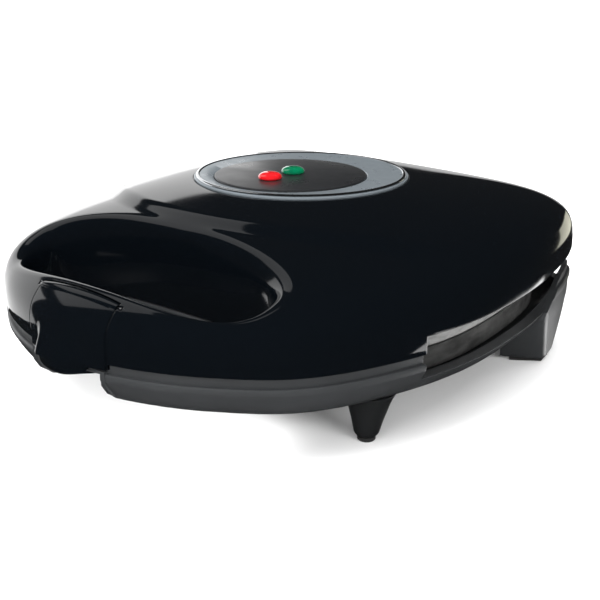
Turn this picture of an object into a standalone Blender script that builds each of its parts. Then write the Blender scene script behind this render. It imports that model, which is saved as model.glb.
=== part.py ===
"""A clamshell donut maker: a glossy domed lid with a loop handle, hinged at the rear on a thin base
with four feet. The handle is at -Y, the hinge at +Y, and the floor is z = 0. Sizes are in millimetres
until a mesh is made, and each moving piece has a parent empty on its joint's axis."""

import math

import bmesh
import bpy
from mathutils import Vector
from mathutils.geometry import interpolate_bezier

MM = 0.001
GAP = 0.3  # clearance between pieces that touch on the real object

# Heights above the floor.
BASE_BOTTOM = 23.0
BASE_LIP = 37.0  # where the base's outer wall steps in under the lid
BASE_RIM = 40.6
PARTING = 41.0
GAP_LOW = 30.0  # the base's edge and the lid's edge beside and behind the plates
GAP_HIGH = 49.0
GAP_FRONT_Y = -38.0
SEAM = 37.0  # the plane in which the two baking plates meet
EDGE_TOP = 46.5  # where the dome meets the lid's short vertical edge
CROWN = 90.0  # the level of the trim ring and its disc
DOME_TOP = 89.0  # the flat top of the lid round them

# The outline of the lid and the base, seen from above: the right half, front to rear.
HALF_OUTLINE = (
    (0, -130), (30, -125.5), (62, -112), (92, -89), (111.2, -52), (121.5, -8),
    (121, 40), (114.5, 82), (106.5, 112), (98, 128), (76, 133.5), (0, 133.5),
)
CURVE_STEPS = 12
CHORD_Y = -47.0  # the line between the finger opening and the round top
FRONT_STEPS = 20
REAR_STEPS = 28
CHORD_STEPS = 20

# The round plateau and its trim ring.
RING_Y = 23.0
RING_RADIUS = 52.0
RING_FOOT = 1.3  # how far the ring's foot stands out beyond its top
RING_GAP = 1.8
RECESS_Z = 88.4  # the floor that the ring and the disc sit on
DOME_POWER = 1.2
FRONT_ROUNDNESS = 2.7
REAR_ROUNDNESS = 4.2

# The shallow step across the lid in front of the plateau: an arc of large radius.
STEP_DEPTH = 3.0
STEP_RADIUS = 121.0
STEP_CENTRE_Y = 63.0
STEP_WIDTH = 8.0

# The finger opening through both handles.
OPENING_Y = -84.0
OPENING_HALF_WIDTH = 69.2
OPENING_FRONT = 28.0
OPENING_REAR = 19.0
OPENING_FRONT_POWER = 2.3
OPENING_REAR_POWER = 2.6
RIM_ROUND = 6.0
RIM_WIDEN = 6.0  # how much wider the rounding gets at the opening's two ends

WALL = 2.6
BASE_TAPER = 9.0
BASE_TAPER_POWER = 1.7
FLOOR_THICKNESS = 2.5

# The latch clip over the middle of the handle.
CLIP_HALF_WIDTH = 23.5
CLIP_THICKNESS = 2.4
CLIP_CLEARANCE = 0.5
LATCH_AXIS_Y = -118.0
LATCH_AXIS_Z = 61.8
CORE_REAR_Y = -112.8
HANDLE_ROWS = 9
LIP_REACH = 4.6
LATCH_PIN_RADIUS = 1.4
CLIP_TOP_Y = -118.0  # the clip's plate starts over its pin
TONGUE_HALF_WIDTH = 13.0
NOTCH_HALF_WIDTH = 20.5  # the hollow under the lower handle that the hook and a fingertip reach into
CORE_HALF_WIDTH = NOTCH_HALF_WIDTH + 2.5  # the block over the hollow, with the catch bar in its middle
NOTCH_REAR_Y = -104.0
NOTCH_TOP = 36.6
HOOK_BOTTOM = 33.8
HOOK_BEND = 3.4
HOOK_REACH = 6.2

# The lid's hinge.
HINGE_Y = 125.0
HINGE_Z = 41.0
HINGE_PIN_RADIUS = 1.8
KNUCKLE_RADIUS = 4.2
KNUCKLE_X = (76.0, 84.0)
POST_WIDTH = 4.5

# The baking bay: a metal frame round each plate.
BAY_Y = 30.0
BAY_HALF_DEPTH = 72.8
BAY_INSET = 13.2
BAY_POWER = 10.0
BAY_STEPS = 40
FRAME_WALL = 1.6
PLATE_THICKNESS = 10.0
CAVITY_RADIUS = 23.0
CAVITY_POST = 6.5
CAVITY_DEPTH = 8.0
CAVITY_STEPS = 14
CAVITY_CENTRES = (
    (0, BAY_Y), (55, BAY_Y), (-55, BAY_Y),
    (27.5, BAY_Y + 45), (-27.5, BAY_Y + 45), (27.5, BAY_Y - 45), (-27.5, BAY_Y - 45),
)

# Feet.
FOOT_X = 93.0
FOOT_Y = -47.0
LEG_BOTTOM = (75.5, 89.5)  # where the rear leg's end starts and stops, front to rear
PAD_THICKNESS = 2.0

# Pilot lamps, the disc round them, and screws.
LAMP_PLACES = {"red": (0, -0.6), "green": (0, 16.6)}
LENS_RADIUS = 5.8
LAMP_RADIUS = 3.4
DISC_RADIUS = 37.5
DISC_Y = 14.7
DISC_TOP = CROWN + 1.0
LENS_FOOT = RECESS_Z - WALL - 3
LAMP_BOARD_Z = LENS_FOOT - 16
LID_COVER_Z = 42.2
HANDLE_SCREWS = ((81, -79), (-81, -79))
COVER_SCREWS = ((60, 78.6), (-60, 78.6), (60, -18.6), (-60, -18.6))
SCREW_RADIUS = 1.3
SCREW_HEAD = 3.0
BOSS_RADIUS = 4.0
COVER_HALF_WIDTH = 80.0
COVER_HALF_DEPTH = 50.0
GLAND_PLACE = (30, 112)
GLAND_RADIUS = 5.0

BLACK_GLOSS = ((0.006, 0.007, 0.009), 0.08, 0.0)
BLACK_SATIN = ((0.022, 0.023, 0.025), 0.35, 0.0)
DARK_METAL = ((0.11, 0.11, 0.11), 0.42, 0.9)
COATED_PLATE = ((0.03, 0.03, 0.032), 0.45, 0.3)
STEEL = ((0.6, 0.6, 0.61), 0.3, 1.0)
SILVER_TRIM = ((0.42, 0.44, 0.46), 0.28, 0.8)
RED_LENS = ((0.6, 0.01, 0.015), 0.12, 0.0)
GREEN_LENS = ((0.0, 0.16, 0.06), 0.12, 0.0)
RUBBER = ((0.015, 0.015, 0.015), 0.8, 0.0)
GLASS_BULB = ((0.8, 0.5, 0.35), 0.1, 0.0)
WHITE_SLEEVE = ((0.75, 0.74, 0.7), 0.6, 0.0)
CERAMIC = ((0.78, 0.76, 0.7), 0.5, 0.0)


def clear_scene():
    for obj in list(bpy.data.objects):
        bpy.data.objects.remove(obj, do_unlink=True)


# Outlines


def smooth_closed(points, steps):
    """A closed curve through the points, with steps segments between one point and the next."""
    count = len(points)
    curve = []
    for i in range(count):
        before, start, end, after = (points[(i + k) % count] for k in (-1, 0, 1, 2))
        reach = (end - start).length / 3
        leaving = (end - before).normalized() * reach
        arriving = (after - start).normalized() * reach
        curve += interpolate_bezier(start, start + leaving, end - arriving, end, steps + 1)[:-1]
    return [Vector((p[0], p[1])) for p in curve]


def make_outline():
    right = [Vector((x, y, 0)) for x, y in HALF_OUTLINE]
    left = [Vector((-p.x, p.y, 0)) for p in reversed(right[1:-1])]
    return smooth_closed(right + left, CURVE_STEPS)


OUTLINE = make_outline()


def inset_outline(inset):
    """The outline moved inwards. It runs anticlockwise, so the inward side is on its left."""
    moved = []
    for i, point in enumerate(OUTLINE):
        along = OUTLINE[(i + 1) % len(OUTLINE)] - OUTLINE[i - 1]
        moved.append(point + Vector((-along.y, along.x)).normalized() * inset)
    return moved


def spaced(points, steps):
    """Points evenly spaced along an open path, ends included."""
    lengths = [0.0]
    for a, b in zip(points, points[1:]):
        lengths.append(lengths[-1] + (b - a).length)
    spread = []
    k = 0
    for i in range(steps + 1):
        wanted = lengths[-1] * i / steps
        while k < len(points) - 2 and lengths[k + 1] < wanted:
            k += 1
        share = (wanted - lengths[k]) / (lengths[k + 1] - lengths[k])
        spread.append(points[k].lerp(points[k + 1], min(max(share, 0.0), 1.0)))
    return spread


def front_and_rear(inset):
    """The inset outline as two open paths that meet on the chord: left to right round the front, and
    right to left round the rear."""
    whole = inset_outline(inset)
    half = len(whole) // 2
    right = next(i for i in range(half) if OUTLINE[i].y > CHORD_Y)
    left = len(whole) - right
    front = whole[left:] + whole[: right + 1]
    rear = whole[right : left + 1]
    return spaced(front, FRONT_STEPS), spaced(rear, REAR_STEPS)


def chord(front):
    """Points inside the chord, from its right end to its left end, closest together near the ends."""
    shares = [(1 - math.cos(math.pi * i / CHORD_STEPS)) / 2 for i in range(1, CHORD_STEPS)]
    return [front[-1].lerp(front[0], share) for share in shares]


def opening_radius(angle, outset):
    """The finger opening's outline, in polar form about its own centre."""
    c = math.cos(angle)
    s = math.sin(angle)
    depth = OPENING_REAR if s > 0 else OPENING_FRONT
    power = OPENING_REAR_POWER if s > 0 else OPENING_FRONT_POWER
    across = abs(c) / (OPENING_HALF_WIDTH + outset)
    along = abs(s) / (depth + outset)
    return (across**power + along**power) ** (-1 / power)


def opening_loop(towards, outset):
    """The opening's outline, with one point facing each of the points given."""
    loop = []
    for point in towards:
        angle = math.atan2(point.y - OPENING_Y, point.x)
        radius = opening_radius(angle, outset)
        loop.append(Vector((radius * math.cos(angle), OPENING_Y + radius * math.sin(angle))))
    return loop


def polar_radius(points, centre, angle):
    """How far a closed outline is from a centre inside it, in one direction."""
    ray = Vector((math.cos(angle), math.sin(angle)))
    side = Vector((-ray.y, ray.x))
    for i, end in enumerate(points):
        a = points[i - 1] - centre
        b = end - centre
        left = a.dot(side)
        right = b.dot(side)
        if left <= 0 < right:
            share = left / (left - right)
            reach = a.lerp(b, share).dot(ray)
            if reach > 0:
                return reach
    raise ValueError("the centre is outside the outline")


def bay_loop(inset, half_depth):
    """A loop that follows the outline at a distance, cut straight at the bay's front and rear."""
    centre = Vector((0, BAY_Y))
    edge = inset_outline(inset)
    loop = []
    for i in range(BAY_STEPS):
        angle = 2 * math.pi * (i + 0.5) / BAY_STEPS
        outer = polar_radius(edge, centre, angle)
        straight = half_depth / abs(math.sin(angle))
        radius = (outer**-BAY_POWER + straight**-BAY_POWER) ** (-1 / BAY_POWER)
        loop.append(centre + radius * Vector((math.cos(angle), math.sin(angle))))
    return loop


# Surface heights


def smoothstep(value):
    value = min(max(value, 0.0), 1.0)
    return value * value * (3 - 2 * value)


def edge_share(x, y):
    """0 on the plateau's edge and inside it, 1 on the outline."""
    offset = Vector((x, y - RING_Y))
    if offset.length <= RING_RADIUS:
        return 0.0
    edge = polar_radius(OUTLINE, Vector((0, RING_Y)), math.atan2(offset.y, offset.x))
    return min((offset.length - RING_RADIUS) / (edge - RING_RADIUS), 1.0)


def lid_height(x, y):
    """The lid's outer surface: a dome that turns down to a vertical edge, lower in front of the step."""
    share = edge_share(x, y)
    rear = smoothstep((y - RING_Y + 40) / 110)
    roundness = FRONT_ROUNDNESS + (REAR_ROUNDNESS - FRONT_ROUNDNESS) * rear
    drop = (DOME_TOP - EDGE_TOP) * (1 - max(1 - share**DOME_POWER, 0.0) ** (1 / roundness))
    beyond = math.hypot(x, y - STEP_CENTRE_Y) - STEP_RADIUS
    fade = 1 - smoothstep((abs(x) - 92) / 26)
    front = smoothstep((STEP_CENTRE_Y - 60 - y) / 30)
    drop += STEP_DEPTH * smoothstep(beyond / STEP_WIDTH + 0.5) * fade * front * (1 - share**4)
    return DOME_TOP - drop - rim_drop(x, y)


def rim_drop(x, y):
    """How far the surface has turned down into the finger opening."""
    angle = math.atan2(y - OPENING_Y, x)
    distance = math.hypot(x, y - OPENING_Y) - opening_radius(angle, 0)
    rounding = RIM_ROUND + RIM_WIDEN * math.cos(angle) ** 4
    if distance >= rounding:
        return 0.0
    inside = 1 - max(distance, 0.0) / rounding
    return rounding * (1 - math.sqrt(1 - inside * inside))


def base_height(x, y):
    """The base's underside: a flat floor whose edge curves up to the outer wall."""
    offset = Vector((x, y - RING_Y))
    edge = polar_radius(OUTLINE, Vector((0, RING_Y)), math.atan2(offset.y, offset.x))
    inside = 1 - min(max(edge - offset.length, 0.0) / BASE_TAPER, 1.0)
    return BASE_BOTTOM + (BASE_LIP - 3 - BASE_BOTTOM) * inside**BASE_TAPER_POWER


# Meshes


def new_material(name, look):
    colour, roughness, metallic = look
    material = bpy.data.materials.new(name)
    material.use_nodes = True
    shader = material.node_tree.nodes["Principled BSDF"]
    shader.inputs["Base Color"].default_value = (*colour, 1)
    shader.inputs["Roughness"].default_value = roughness
    shader.inputs["Metallic"].default_value = metallic
    return material


def circle(radius, steps):
    """Points (x, y) evenly spaced round a circle."""
    turns = [2 * math.pi * i / steps for i in range(steps)]
    return [(radius * math.cos(turn), radius * math.sin(turn)) for turn in turns]


class Part:
    """One named object, whose mesh is built in millimetres in world coordinates."""

    def __init__(self, name, look, pivot=None):
        self.name = name
        self.look = look
        self.pivot = pivot
        self.bm = bmesh.new()

    def loop(self, points, z=None):
        """A ring of vertices. Points are flat, at height z, or have their own heights."""
        if z is not None:
            points = [(p[0], p[1], z) for p in points]
        return [self.bm.verts.new(p) for p in points]

    def bridge(self, first, second, closed=True):
        count = len(first)
        for i in range(count if closed else count - 1):
            k = (i + 1) % count
            self.bm.faces.new((first[i], first[k], second[k], second[i]))

    def loft(self, loops, ring=False):
        """Walls between loops, then caps, or a wall from the last loop back to the first."""
        for a, b in zip(loops, loops[1:]):
            self.bridge(a, b)
        if ring:
            self.bridge(loops[-1], loops[0])
        else:
            self.bm.faces.new(loops[0])
            self.bm.faces.new(loops[-1])

    def turned(self, profile, centre, steps=16, axis="z"):
        """A profile of (radius, height) pairs turned round an axis through the centre."""
        loops = []
        for radius, height in profile:
            ring = []
            for c, s in circle(radius, steps):
                around = {"x": (height, c, s), "y": (s, height, c), "z": (c, s, height)}[axis]
                ring.append(Vector(centre) + Vector(around))
            loops.append(self.loop(ring))
        return loops

    def box(self, low, high):
        corners = [(low[0], low[1]), (high[0], low[1]), (high[0], high[1]), (low[0], high[1])]
        self.loft([self.loop(corners, low[2]), self.loop(corners, high[2])])

    def finish(self, sharp_angle=35):
        bmesh.ops.recalc_face_normals(self.bm, faces=self.bm.faces[:])
        origin = Vector(self.pivot.location) if self.pivot else Vector()
        for vert in self.bm.verts:
            vert.co = vert.co * MM - origin
        mesh = bpy.data.meshes.new(self.name)
        self.bm.to_mesh(mesh)
        self.bm.free()
        mesh.shade_smooth()
        mesh.set_sharp_from_angle(angle=math.radians(sharp_angle))
        obj = bpy.data.objects.new(self.name, mesh)
        bpy.context.scene.collection.objects.link(obj)
        obj.parent = self.pivot
        if self.look:
            mesh.materials.append(new_material(self.name, self.look))
        else:
            obj.hide_render = True
            obj.display_type = "WIRE"
        return obj


def cut(obj, cutter, operation="DIFFERENCE", solver="EXACT"):
    modifier = obj.modifiers.new(cutter.name, "BOOLEAN")
    modifier.operation = operation
    modifier.object = cutter
    modifier.solver = solver


def make_pivot(name, y, z):
    pivot = bpy.data.objects.new(name, None)
    pivot.location = (0, y * MM, z * MM)
    pivot.empty_display_size = 0.02
    bpy.context.scene.collection.objects.link(pivot)
    return pivot


FRONT_SPACING = (0, 0.08, 0.2, 0.38, 0.6, 0.8, 0.93, 1)
REAR_SPACING = (0, 0.25, 0.5, 0.7, 0.84, 0.93, 0.98, 1)


def plan_grid(inset, outset, centre_loop):
    """Two patches of flat points that share the chord: rings from the finger opening out to the front
    outline, and rings from the round plateau out to the rear outline."""
    front, rear = front_and_rear(inset)
    middle = chord(front)
    front_edge = front + middle
    rear_edge = rear + middle[::-1]
    hole = opening_loop(front_edge, outset)
    front_rings = [[a.lerp(b, s) for a, b in zip(hole, front_edge)] for s in FRONT_SPACING]
    rear_rings = [[a.lerp(b, s) for a, b in zip(centre_loop(rear_edge), rear_edge)] for s in REAR_SPACING]
    return front_rings, rear_rings


def plateau_loop(towards):
    loop = []
    for point in towards:
        direction = Vector((point.x, point.y - RING_Y)).normalized()
        loop.append(Vector((0, RING_Y)) + direction * (RING_RADIUS + RING_GAP))
    return loop


def skin(part, inset, outset, height, lift):
    """One surface of a shell. Returns its opening loop, its outline loop and its innermost loop."""
    flat_front, flat_rear = plan_grid(inset, outset, plateau_loop)
    true_front, true_rear = plan_grid(0, 0, plateau_loop)

    def raised(rings, true_rings):
        return [
            [(p.x, p.y, height(q.x, q.y) + lift) for p, q in zip(ring, true_ring)]
            for ring, true_ring in zip(rings, true_rings)
        ]

    front = [part.loop(ring) for ring in raised(flat_front, true_front)]
    rear_points = raised(flat_rear, true_rear)
    rear = [part.loop(ring) for ring in rear_points[:-1]]
    last = [part.bm.verts.new(p) for p in rear_points[-1][1:REAR_STEPS]]
    shared_chord = front[-1][FRONT_STEPS + 1 :]
    left_corner = front[-1][0]
    right_corner = front[-1][FRONT_STEPS]
    rear_edge = [right_corner] + last + [left_corner] + shared_chord[::-1]
    for a, b in zip(front, front[1:]):
        part.bridge(a, b)
    for a, b in zip(rear, rear[1:] + [rear_edge]):
        part.bridge(a, b)
    edge = front[-1][: FRONT_STEPS + 1] + last
    return front[0], edge, rear[0]


def edge_points(inset):
    """The whole outline in the order of a skin's outline loop."""
    front, rear = front_and_rear(inset)
    return front + rear[1:-1]


def hole_points(outset):
    front, _ = front_and_rear(0)
    return opening_loop(front + chord(front), outset)


# The lid


def lid_shell(pivot):
    part = Part("lid_shell", BLACK_GLOSS, pivot)
    hole, edge, inner = skin(part, 0, 0, lid_height, 0)
    recess = part.loop([v.co for v in inner], RECESS_Z)
    part.bridge(inner, recess)
    part.bm.faces.new(recess)
    edge_low = part.loop(edge_points(0), PARTING)
    edge_inside = part.loop(edge_points(WALL), PARTING)
    hole_low = part.loop(hole_points(0), PARTING)
    hole_inside = part.loop(hole_points(WALL), PARTING)
    hole_under, edge_under, inner_under = skin(part, WALL, WALL, lid_height, -WALL - 0.4)
    recess_under = part.loop([v.co for v in inner_under], RECESS_Z - WALL)
    part.bridge(inner_under, recess_under)
    part.bm.faces.new(recess_under)
    for stack in ((edge, edge_low, edge_inside, edge_under), (hole, hole_low, hole_inside, hole_under)):
        for a, b in zip(stack, stack[1:]):
            part.bridge(a, b)
    shell = part.finish()
    cut(shell, rear_gap_cutter("lid_gap_cutter", PARTING - 5, GAP_HIGH))
    cut(shell, lid_fittings(), "UNION")
    cut(shell, clip_recess_cutter(), solver="MANIFOLD")
    cut(shell, clip_barrel("barrel_recess_cutter", CLIP_HALF_WIDTH + CLIP_CLEARANCE, 0.4))
    cut(shell, rod_cutter("latch_pin_cutter", LATCH_PIN_RADIUS + GAP, LATCH_AXIS_Y, LATCH_AXIS_Z, 26.2))
    cut(shell, rod_cutter("lid_hinge_cutter", HINGE_PIN_RADIUS + GAP, HINGE_Y, HINGE_Z, 100))
    cut(shell, drilled("lamp_hole_cutter", LAMP_PLACES.values(), LENS_RADIUS - 1.5, 80, 92))
    cut(shell, drilled("lid_screw_cutter", HANDLE_SCREWS, SCREW_RADIUS + GAP, 40, 57))
    return shell


def lid_fittings():
    """What is moulded inside the lid: the hinge knuckles, the core behind the latch and the bosses."""
    part = Part("lid_fittings", None)
    for side in (-1, 1):
        knuckle_body(part, side)
    latch_core(part)
    for x, y in HANDLE_SCREWS:
        ring = [(x + c, y + s) for c, s in circle(BOSS_RADIUS, 10)]
        top = [(px, py, lid_height(px, py) - 1.4) for px, py in ring]
        part.loft([part.loop(ring, LID_COVER_Z + 2.3), part.loop(top)])
    return part.finish()


def latch_core(part):
    """The solid middle of the handle, which carries the latch's pin."""
    loops = []
    for i in range(7):
        x = 28 * (i / 3 - 1)
        path = handle_section(x)[: HANDLE_ROWS - 1]
        normals = section_normals(path)
        section = [p - n * 1.2 for p, n in zip(path, normals)]
        section += [Vector((section[-1].x, LID_COVER_Z + 3)), Vector((CORE_REAR_Y, LID_COVER_Z + 3))]
        section += [Vector((CORE_REAR_Y, section[0].y - 1))]
        loops.append(part.loop([(x, *p) for p in section]))
    part.loft(loops)


def knuckle_body(part, side):
    """A hinge knuckle on a web that rises into the lid's rear wall."""
    low, high = sorted(side * x for x in KNUCKLE_X)
    section = [
        (HINGE_Y - KNUCKLE_RADIUS, HINGE_Z + 1), (HINGE_Y - 3, HINGE_Z - 3),
        (HINGE_Y, HINGE_Z - KNUCKLE_RADIUS), (HINGE_Y + 3, HINGE_Z - 3),
        (HINGE_Y + KNUCKLE_RADIUS, HINGE_Z),
        (HINGE_Y + 5, GAP_HIGH + 6), (HINGE_Y - 1, GAP_HIGH + 8),
    ]
    part.loft([part.loop([(x, y, z) for y, z in section]) for x in (low, high)])


def rear_gap_cutter(name, low, high):
    """Takes away the walls beside and behind the plates between two heights."""
    part = Part(name, None)
    part.box((-140, GAP_FRONT_Y, low), (140, 150, high))
    return part.finish()


def base_gap_cutter():
    """Lowers the base's edge beside the plates, up to where it rises again to the rear legs, and behind."""
    part = Part("base_gap_cutter", None)
    top = PARTING + 5
    profile = [(GAP_FRONT_Y, top), (GAP_FRONT_Y, GAP_LOW), (66, GAP_LOW), (76, GAP_LOW + 2),
               (82, GAP_LOW + 6.5), (90, GAP_LOW + 9), (100, GAP_LOW + 11.5), (100, top)]
    part.loft([part.loop([(x, y, z) for y, z in profile]) for x in (-140, 140)])
    part.box((-97, 118, GAP_LOW), (97, 150, top))
    return part.finish()


def rod_cutter(name, radius, y, z, half, steps=12):
    """A round bar along x, to drill for a pin."""
    part = Part(name, None)
    part.loft(part.turned([(radius, -half), (radius, half)], (0, y, z), steps, "x"))
    return part.finish()


def drilled(name, places, radius, low, high, steps=12):
    """Upright round bars at the places given."""
    part = Part(name, None)
    for x, y in places:
        part.loft(part.turned([(radius, low), (radius, high)], (x, y, 0), steps))
    return part.finish()


def trim_ring(pivot):
    """A flat metal ring with a raised outer lip."""
    part = Part("trim_ring", SILVER_TRIM, pivot)
    floor = RECESS_Z + GAP
    foot = RING_RADIUS + RING_FOOT
    lip = RING_RADIUS + 0.4
    profile = [(foot, floor), (foot, CROWN - 0.2), (lip, CROWN), (lip - 0.2, CROWN + 0.6),
               (lip - 0.9, CROWN + 0.9), (lip - 2.8, CROWN + 0.4)]
    loops = part.turned(profile, (0, RING_Y, 0), 48)
    inner_top = part.turned([(DISC_RADIUS + GAP, CROWN + 0.2)], (0, DISC_Y, 0), 48)
    inner_low = part.turned([(DISC_RADIUS + GAP, floor)], (0, DISC_Y, 0), 48)
    part.loft(loops + inner_top + inner_low, ring=True)
    return part.finish()


def badge_disc(pivot):
    """The dark disc inside the ring, with two holes for the lenses."""
    part = Part("badge_disc", BLACK_SATIN, pivot)
    floor = RECESS_Z + GAP
    profile = [(DISC_RADIUS, floor), (DISC_RADIUS, DISC_TOP - 0.5), (DISC_RADIUS - 0.6, DISC_TOP)]
    part.loft(part.turned(profile, (0, DISC_Y, 0), 48))
    disc = part.finish()
    places = LAMP_PLACES.values()
    cut(disc, drilled("lens_hole_cutter", places, LENS_RADIUS - 0.9, floor - 1, DISC_TOP + 1, 16))
    return disc


def lens(name, place, look, pivot):
    """A domed pilot-lamp lens with a collar that sits on the disc and a stem down through it."""
    part = Part(name, look, pivot)
    low = LENS_FOOT
    top = DISC_TOP + GAP
    stem = LENS_RADIUS - 1.9
    profile = [(stem, low), (stem, top), (LENS_RADIUS, top), (LENS_RADIUS, top + 0.9),
               (LENS_RADIUS * 0.86, top + 2.2), (LENS_RADIUS * 0.5, top + 3.1)]
    part.loft(part.turned(profile, (*place, 0), 16))
    return part.finish()


def neon_lamp(name, place, pivot):
    part = Part(name, GLASS_BULB, pivot)
    top = LENS_FOOT - GAP
    profile = [(LAMP_RADIUS, top - 14), (LAMP_RADIUS, top - 3), (LAMP_RADIUS * 0.6, top)]
    part.loft(part.turned(profile, (*place, 0), 12))
    return part.finish()


def lamp_board(pivot):
    """The small board that carries both pilot lamps."""
    part = Part("lamp_board", CERAMIC, pivot)
    part.box((-10, -9, LAMP_BOARD_Z), (10, 25, LAMP_BOARD_Z + 1.4))
    return part.finish()


def handle_cover(name, inset, outset, low, high, pivot):
    """The flat cover that closes a handle loop and the space in front of the plates."""
    part = Part(name, BLACK_SATIN, pivot)
    front, _ = front_and_rear(inset)
    edge = front + chord(front)
    hole = hole_points(outset)
    corners = ((edge, low), (edge, high), (hole, high), (hole, low))
    part.loft([part.loop(loop, z) for loop, z in corners], ring=True)
    return part.finish()


def frame_ring(name, low, high, pivot):
    """The folded metal frame round a baking plate."""
    part = Part(name, DARK_METAL, pivot)
    outer = bay_loop(BAY_INSET, BAY_HALF_DEPTH)
    inner = bay_loop(BAY_INSET + FRAME_WALL, BAY_HALF_DEPTH - FRAME_WALL)
    corners = ((outer, low), (outer, high), (inner, high), (inner, low))
    part.loft([part.loop(loop, z) for loop, z in corners], ring=True)
    return part.finish()


def cavity_cutter(name, face, sign):
    """Seven ring-shaped cavities: half-rounds turned round each centre, opening at the plate's face."""
    part = Part(name, None)
    middle = (CAVITY_RADIUS + CAVITY_POST) / 2
    half = (CAVITY_RADIUS - CAVITY_POST) / 2
    profile = [(CAVITY_RADIUS, face + sign), (CAVITY_RADIUS, face)]
    for angle in (30, 70, 110, 150):
        turn = math.radians(angle)
        profile.append((middle + half * math.cos(turn), face - sign * CAVITY_DEPTH * math.sin(turn)))
    profile += [(CAVITY_POST, face), (CAVITY_POST, face + sign)]
    for x, y in CAVITY_CENTRES:
        part.loft(part.turned(profile, (x, y, 0), CAVITY_STEPS), ring=True)
    return part.finish()


def baking_plate(name, face, sign, pivot):
    """A cast plate. Its face is at the seam, and sign is +1 where it faces up."""
    part = Part(name, COATED_PLATE, pivot)
    loop = bay_loop(BAY_INSET + FRAME_WALL + GAP, BAY_HALF_DEPTH - FRAME_WALL - GAP)
    part.loft([part.loop(loop, face), part.loop(loop, face - sign * PLATE_THICKNESS)])
    plate = part.finish()
    cut(plate, cavity_cutter(name + "_cutter", face, sign))
    return plate


def heater(name, z, pivot):
    """A sheathed element bent into a U."""
    radius = 3.2
    half = 44.0
    points = [(-half, 70), (-half, 14)]
    for i in range(9):
        angle = math.pi + math.pi * i / 8
        points.append((half * math.cos(angle), 14 + half * 0.55 * math.sin(angle)))
    points += [(half, 14), (half, 70)]
    curve = bpy.data.curves.new(name, "CURVE")
    curve.dimensions = "3D"
    spline = curve.splines.new("POLY")
    spline.points.add(len(points) - 1)
    origin = Vector(pivot.location) if pivot else Vector()
    for target, (x, y) in zip(spline.points, points):
        target.co = (*(Vector((x, y, z)) * MM - origin), 1)
    curve.bevel_depth = radius * MM
    curve.bevel_resolution = 1
    curve.use_fill_caps = True
    curve.materials.append(new_material(name, STEEL))
    obj = bpy.data.objects.new(name, curve)
    bpy.context.scene.collection.objects.link(obj)
    obj.parent = pivot
    return obj


def reflector(name, deep_z, rim_z, half_width, pivot):
    """The thin heat shield beyond the element: a shallow dish with a turned edge."""
    part = Part(name, STEEL, pivot)
    thickness = 0.8 if rim_z > deep_z else -0.8
    loops = []
    for shrink, z in ((6, deep_z), (0, rim_z), (1, rim_z), (7, deep_z + thickness)):
        loops.append(part.loop(superellipse(half_width - shrink, half_width - 32 - shrink), z))
    part.loft(loops)
    return part.finish()


def superellipse(half_width, half_depth, centre_y=BAY_Y, power=4.0, steps=32):
    points = []
    for i in range(steps):
        angle = 2 * math.pi * (i + 0.5) / steps
        c = math.cos(angle)
        s = math.sin(angle)
        radius = ((abs(c) / half_width) ** power + (abs(s) / half_depth) ** power) ** (-1 / power)
        points.append((radius * c, centre_y + radius * s))
    return points


def small_cylinder(name, look, place, radius, low, high, pivot, steps=12):
    part = Part(name, look, pivot)
    part.loft(part.turned([(radius, low), (radius, high)], (*place, 0), steps))
    return part.finish()


def wire_sleeve(pivot):
    """The heat-proof sleeve that carries the wires along the inside of the lid to the lamps."""
    part = Part("lid_wire_sleeve", WHITE_SLEEVE, pivot)
    part.loft(part.turned([(2.2, 24), (2.2, 84)], (14, 0, LAMP_BOARD_Z - 3), 8, "y"))
    return part.finish()


# The latch


def handle_section(x, top_y=CLIP_TOP_Y):
    """The handle's outer surface in one plane of constant x, as (y, z): over its top, down its front,
    and on below the parting line along the hook."""
    edge = next(p.y for p in dense_front() if p.x >= x)
    path = []
    for i in range(HANDLE_ROWS):
        share = i / (HANDLE_ROWS - 1)
        y = top_y + (edge - top_y) * (1 - (1 - share) ** 1.6)
        path.append(Vector((y, lid_height(x, y) if share < 1 else PARTING + 4)))
    path += [Vector((edge, PARTING - 2.4)), Vector((edge, PARTING - 2.9))]
    for angle in (180, 210, 240, 270):
        turn = math.radians(angle)
        bend = Vector((math.cos(turn), math.sin(turn))) * HOOK_BEND
        path.append(Vector((edge + HOOK_BEND, HOOK_BOTTOM + HOOK_BEND)) + bend)
    path.append(Vector((edge + HOOK_REACH, HOOK_BOTTOM)))
    return path


def dense_front():
    whole = OUTLINE
    left = len(whole) - 3 * CURVE_STEPS
    return whole[left:] + whole[: 3 * CURVE_STEPS]


def section_normals(path):
    normals = []
    for i in range(len(path)):
        along = path[min(i + 1, len(path) - 1)] - path[max(i - 1, 0)]
        normals.append(Vector((along.y, -along.x)).normalized())
    return normals


def lip_swell(x, z):
    """How far the clip's lower front stands out as a thumb lip."""
    across = max(1 - (x / 16) ** 2, 0.0)
    return LIP_REACH * across * smoothstep((53 - z) / 18) * smoothstep((z - HOOK_BOTTOM) / 2)


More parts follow.
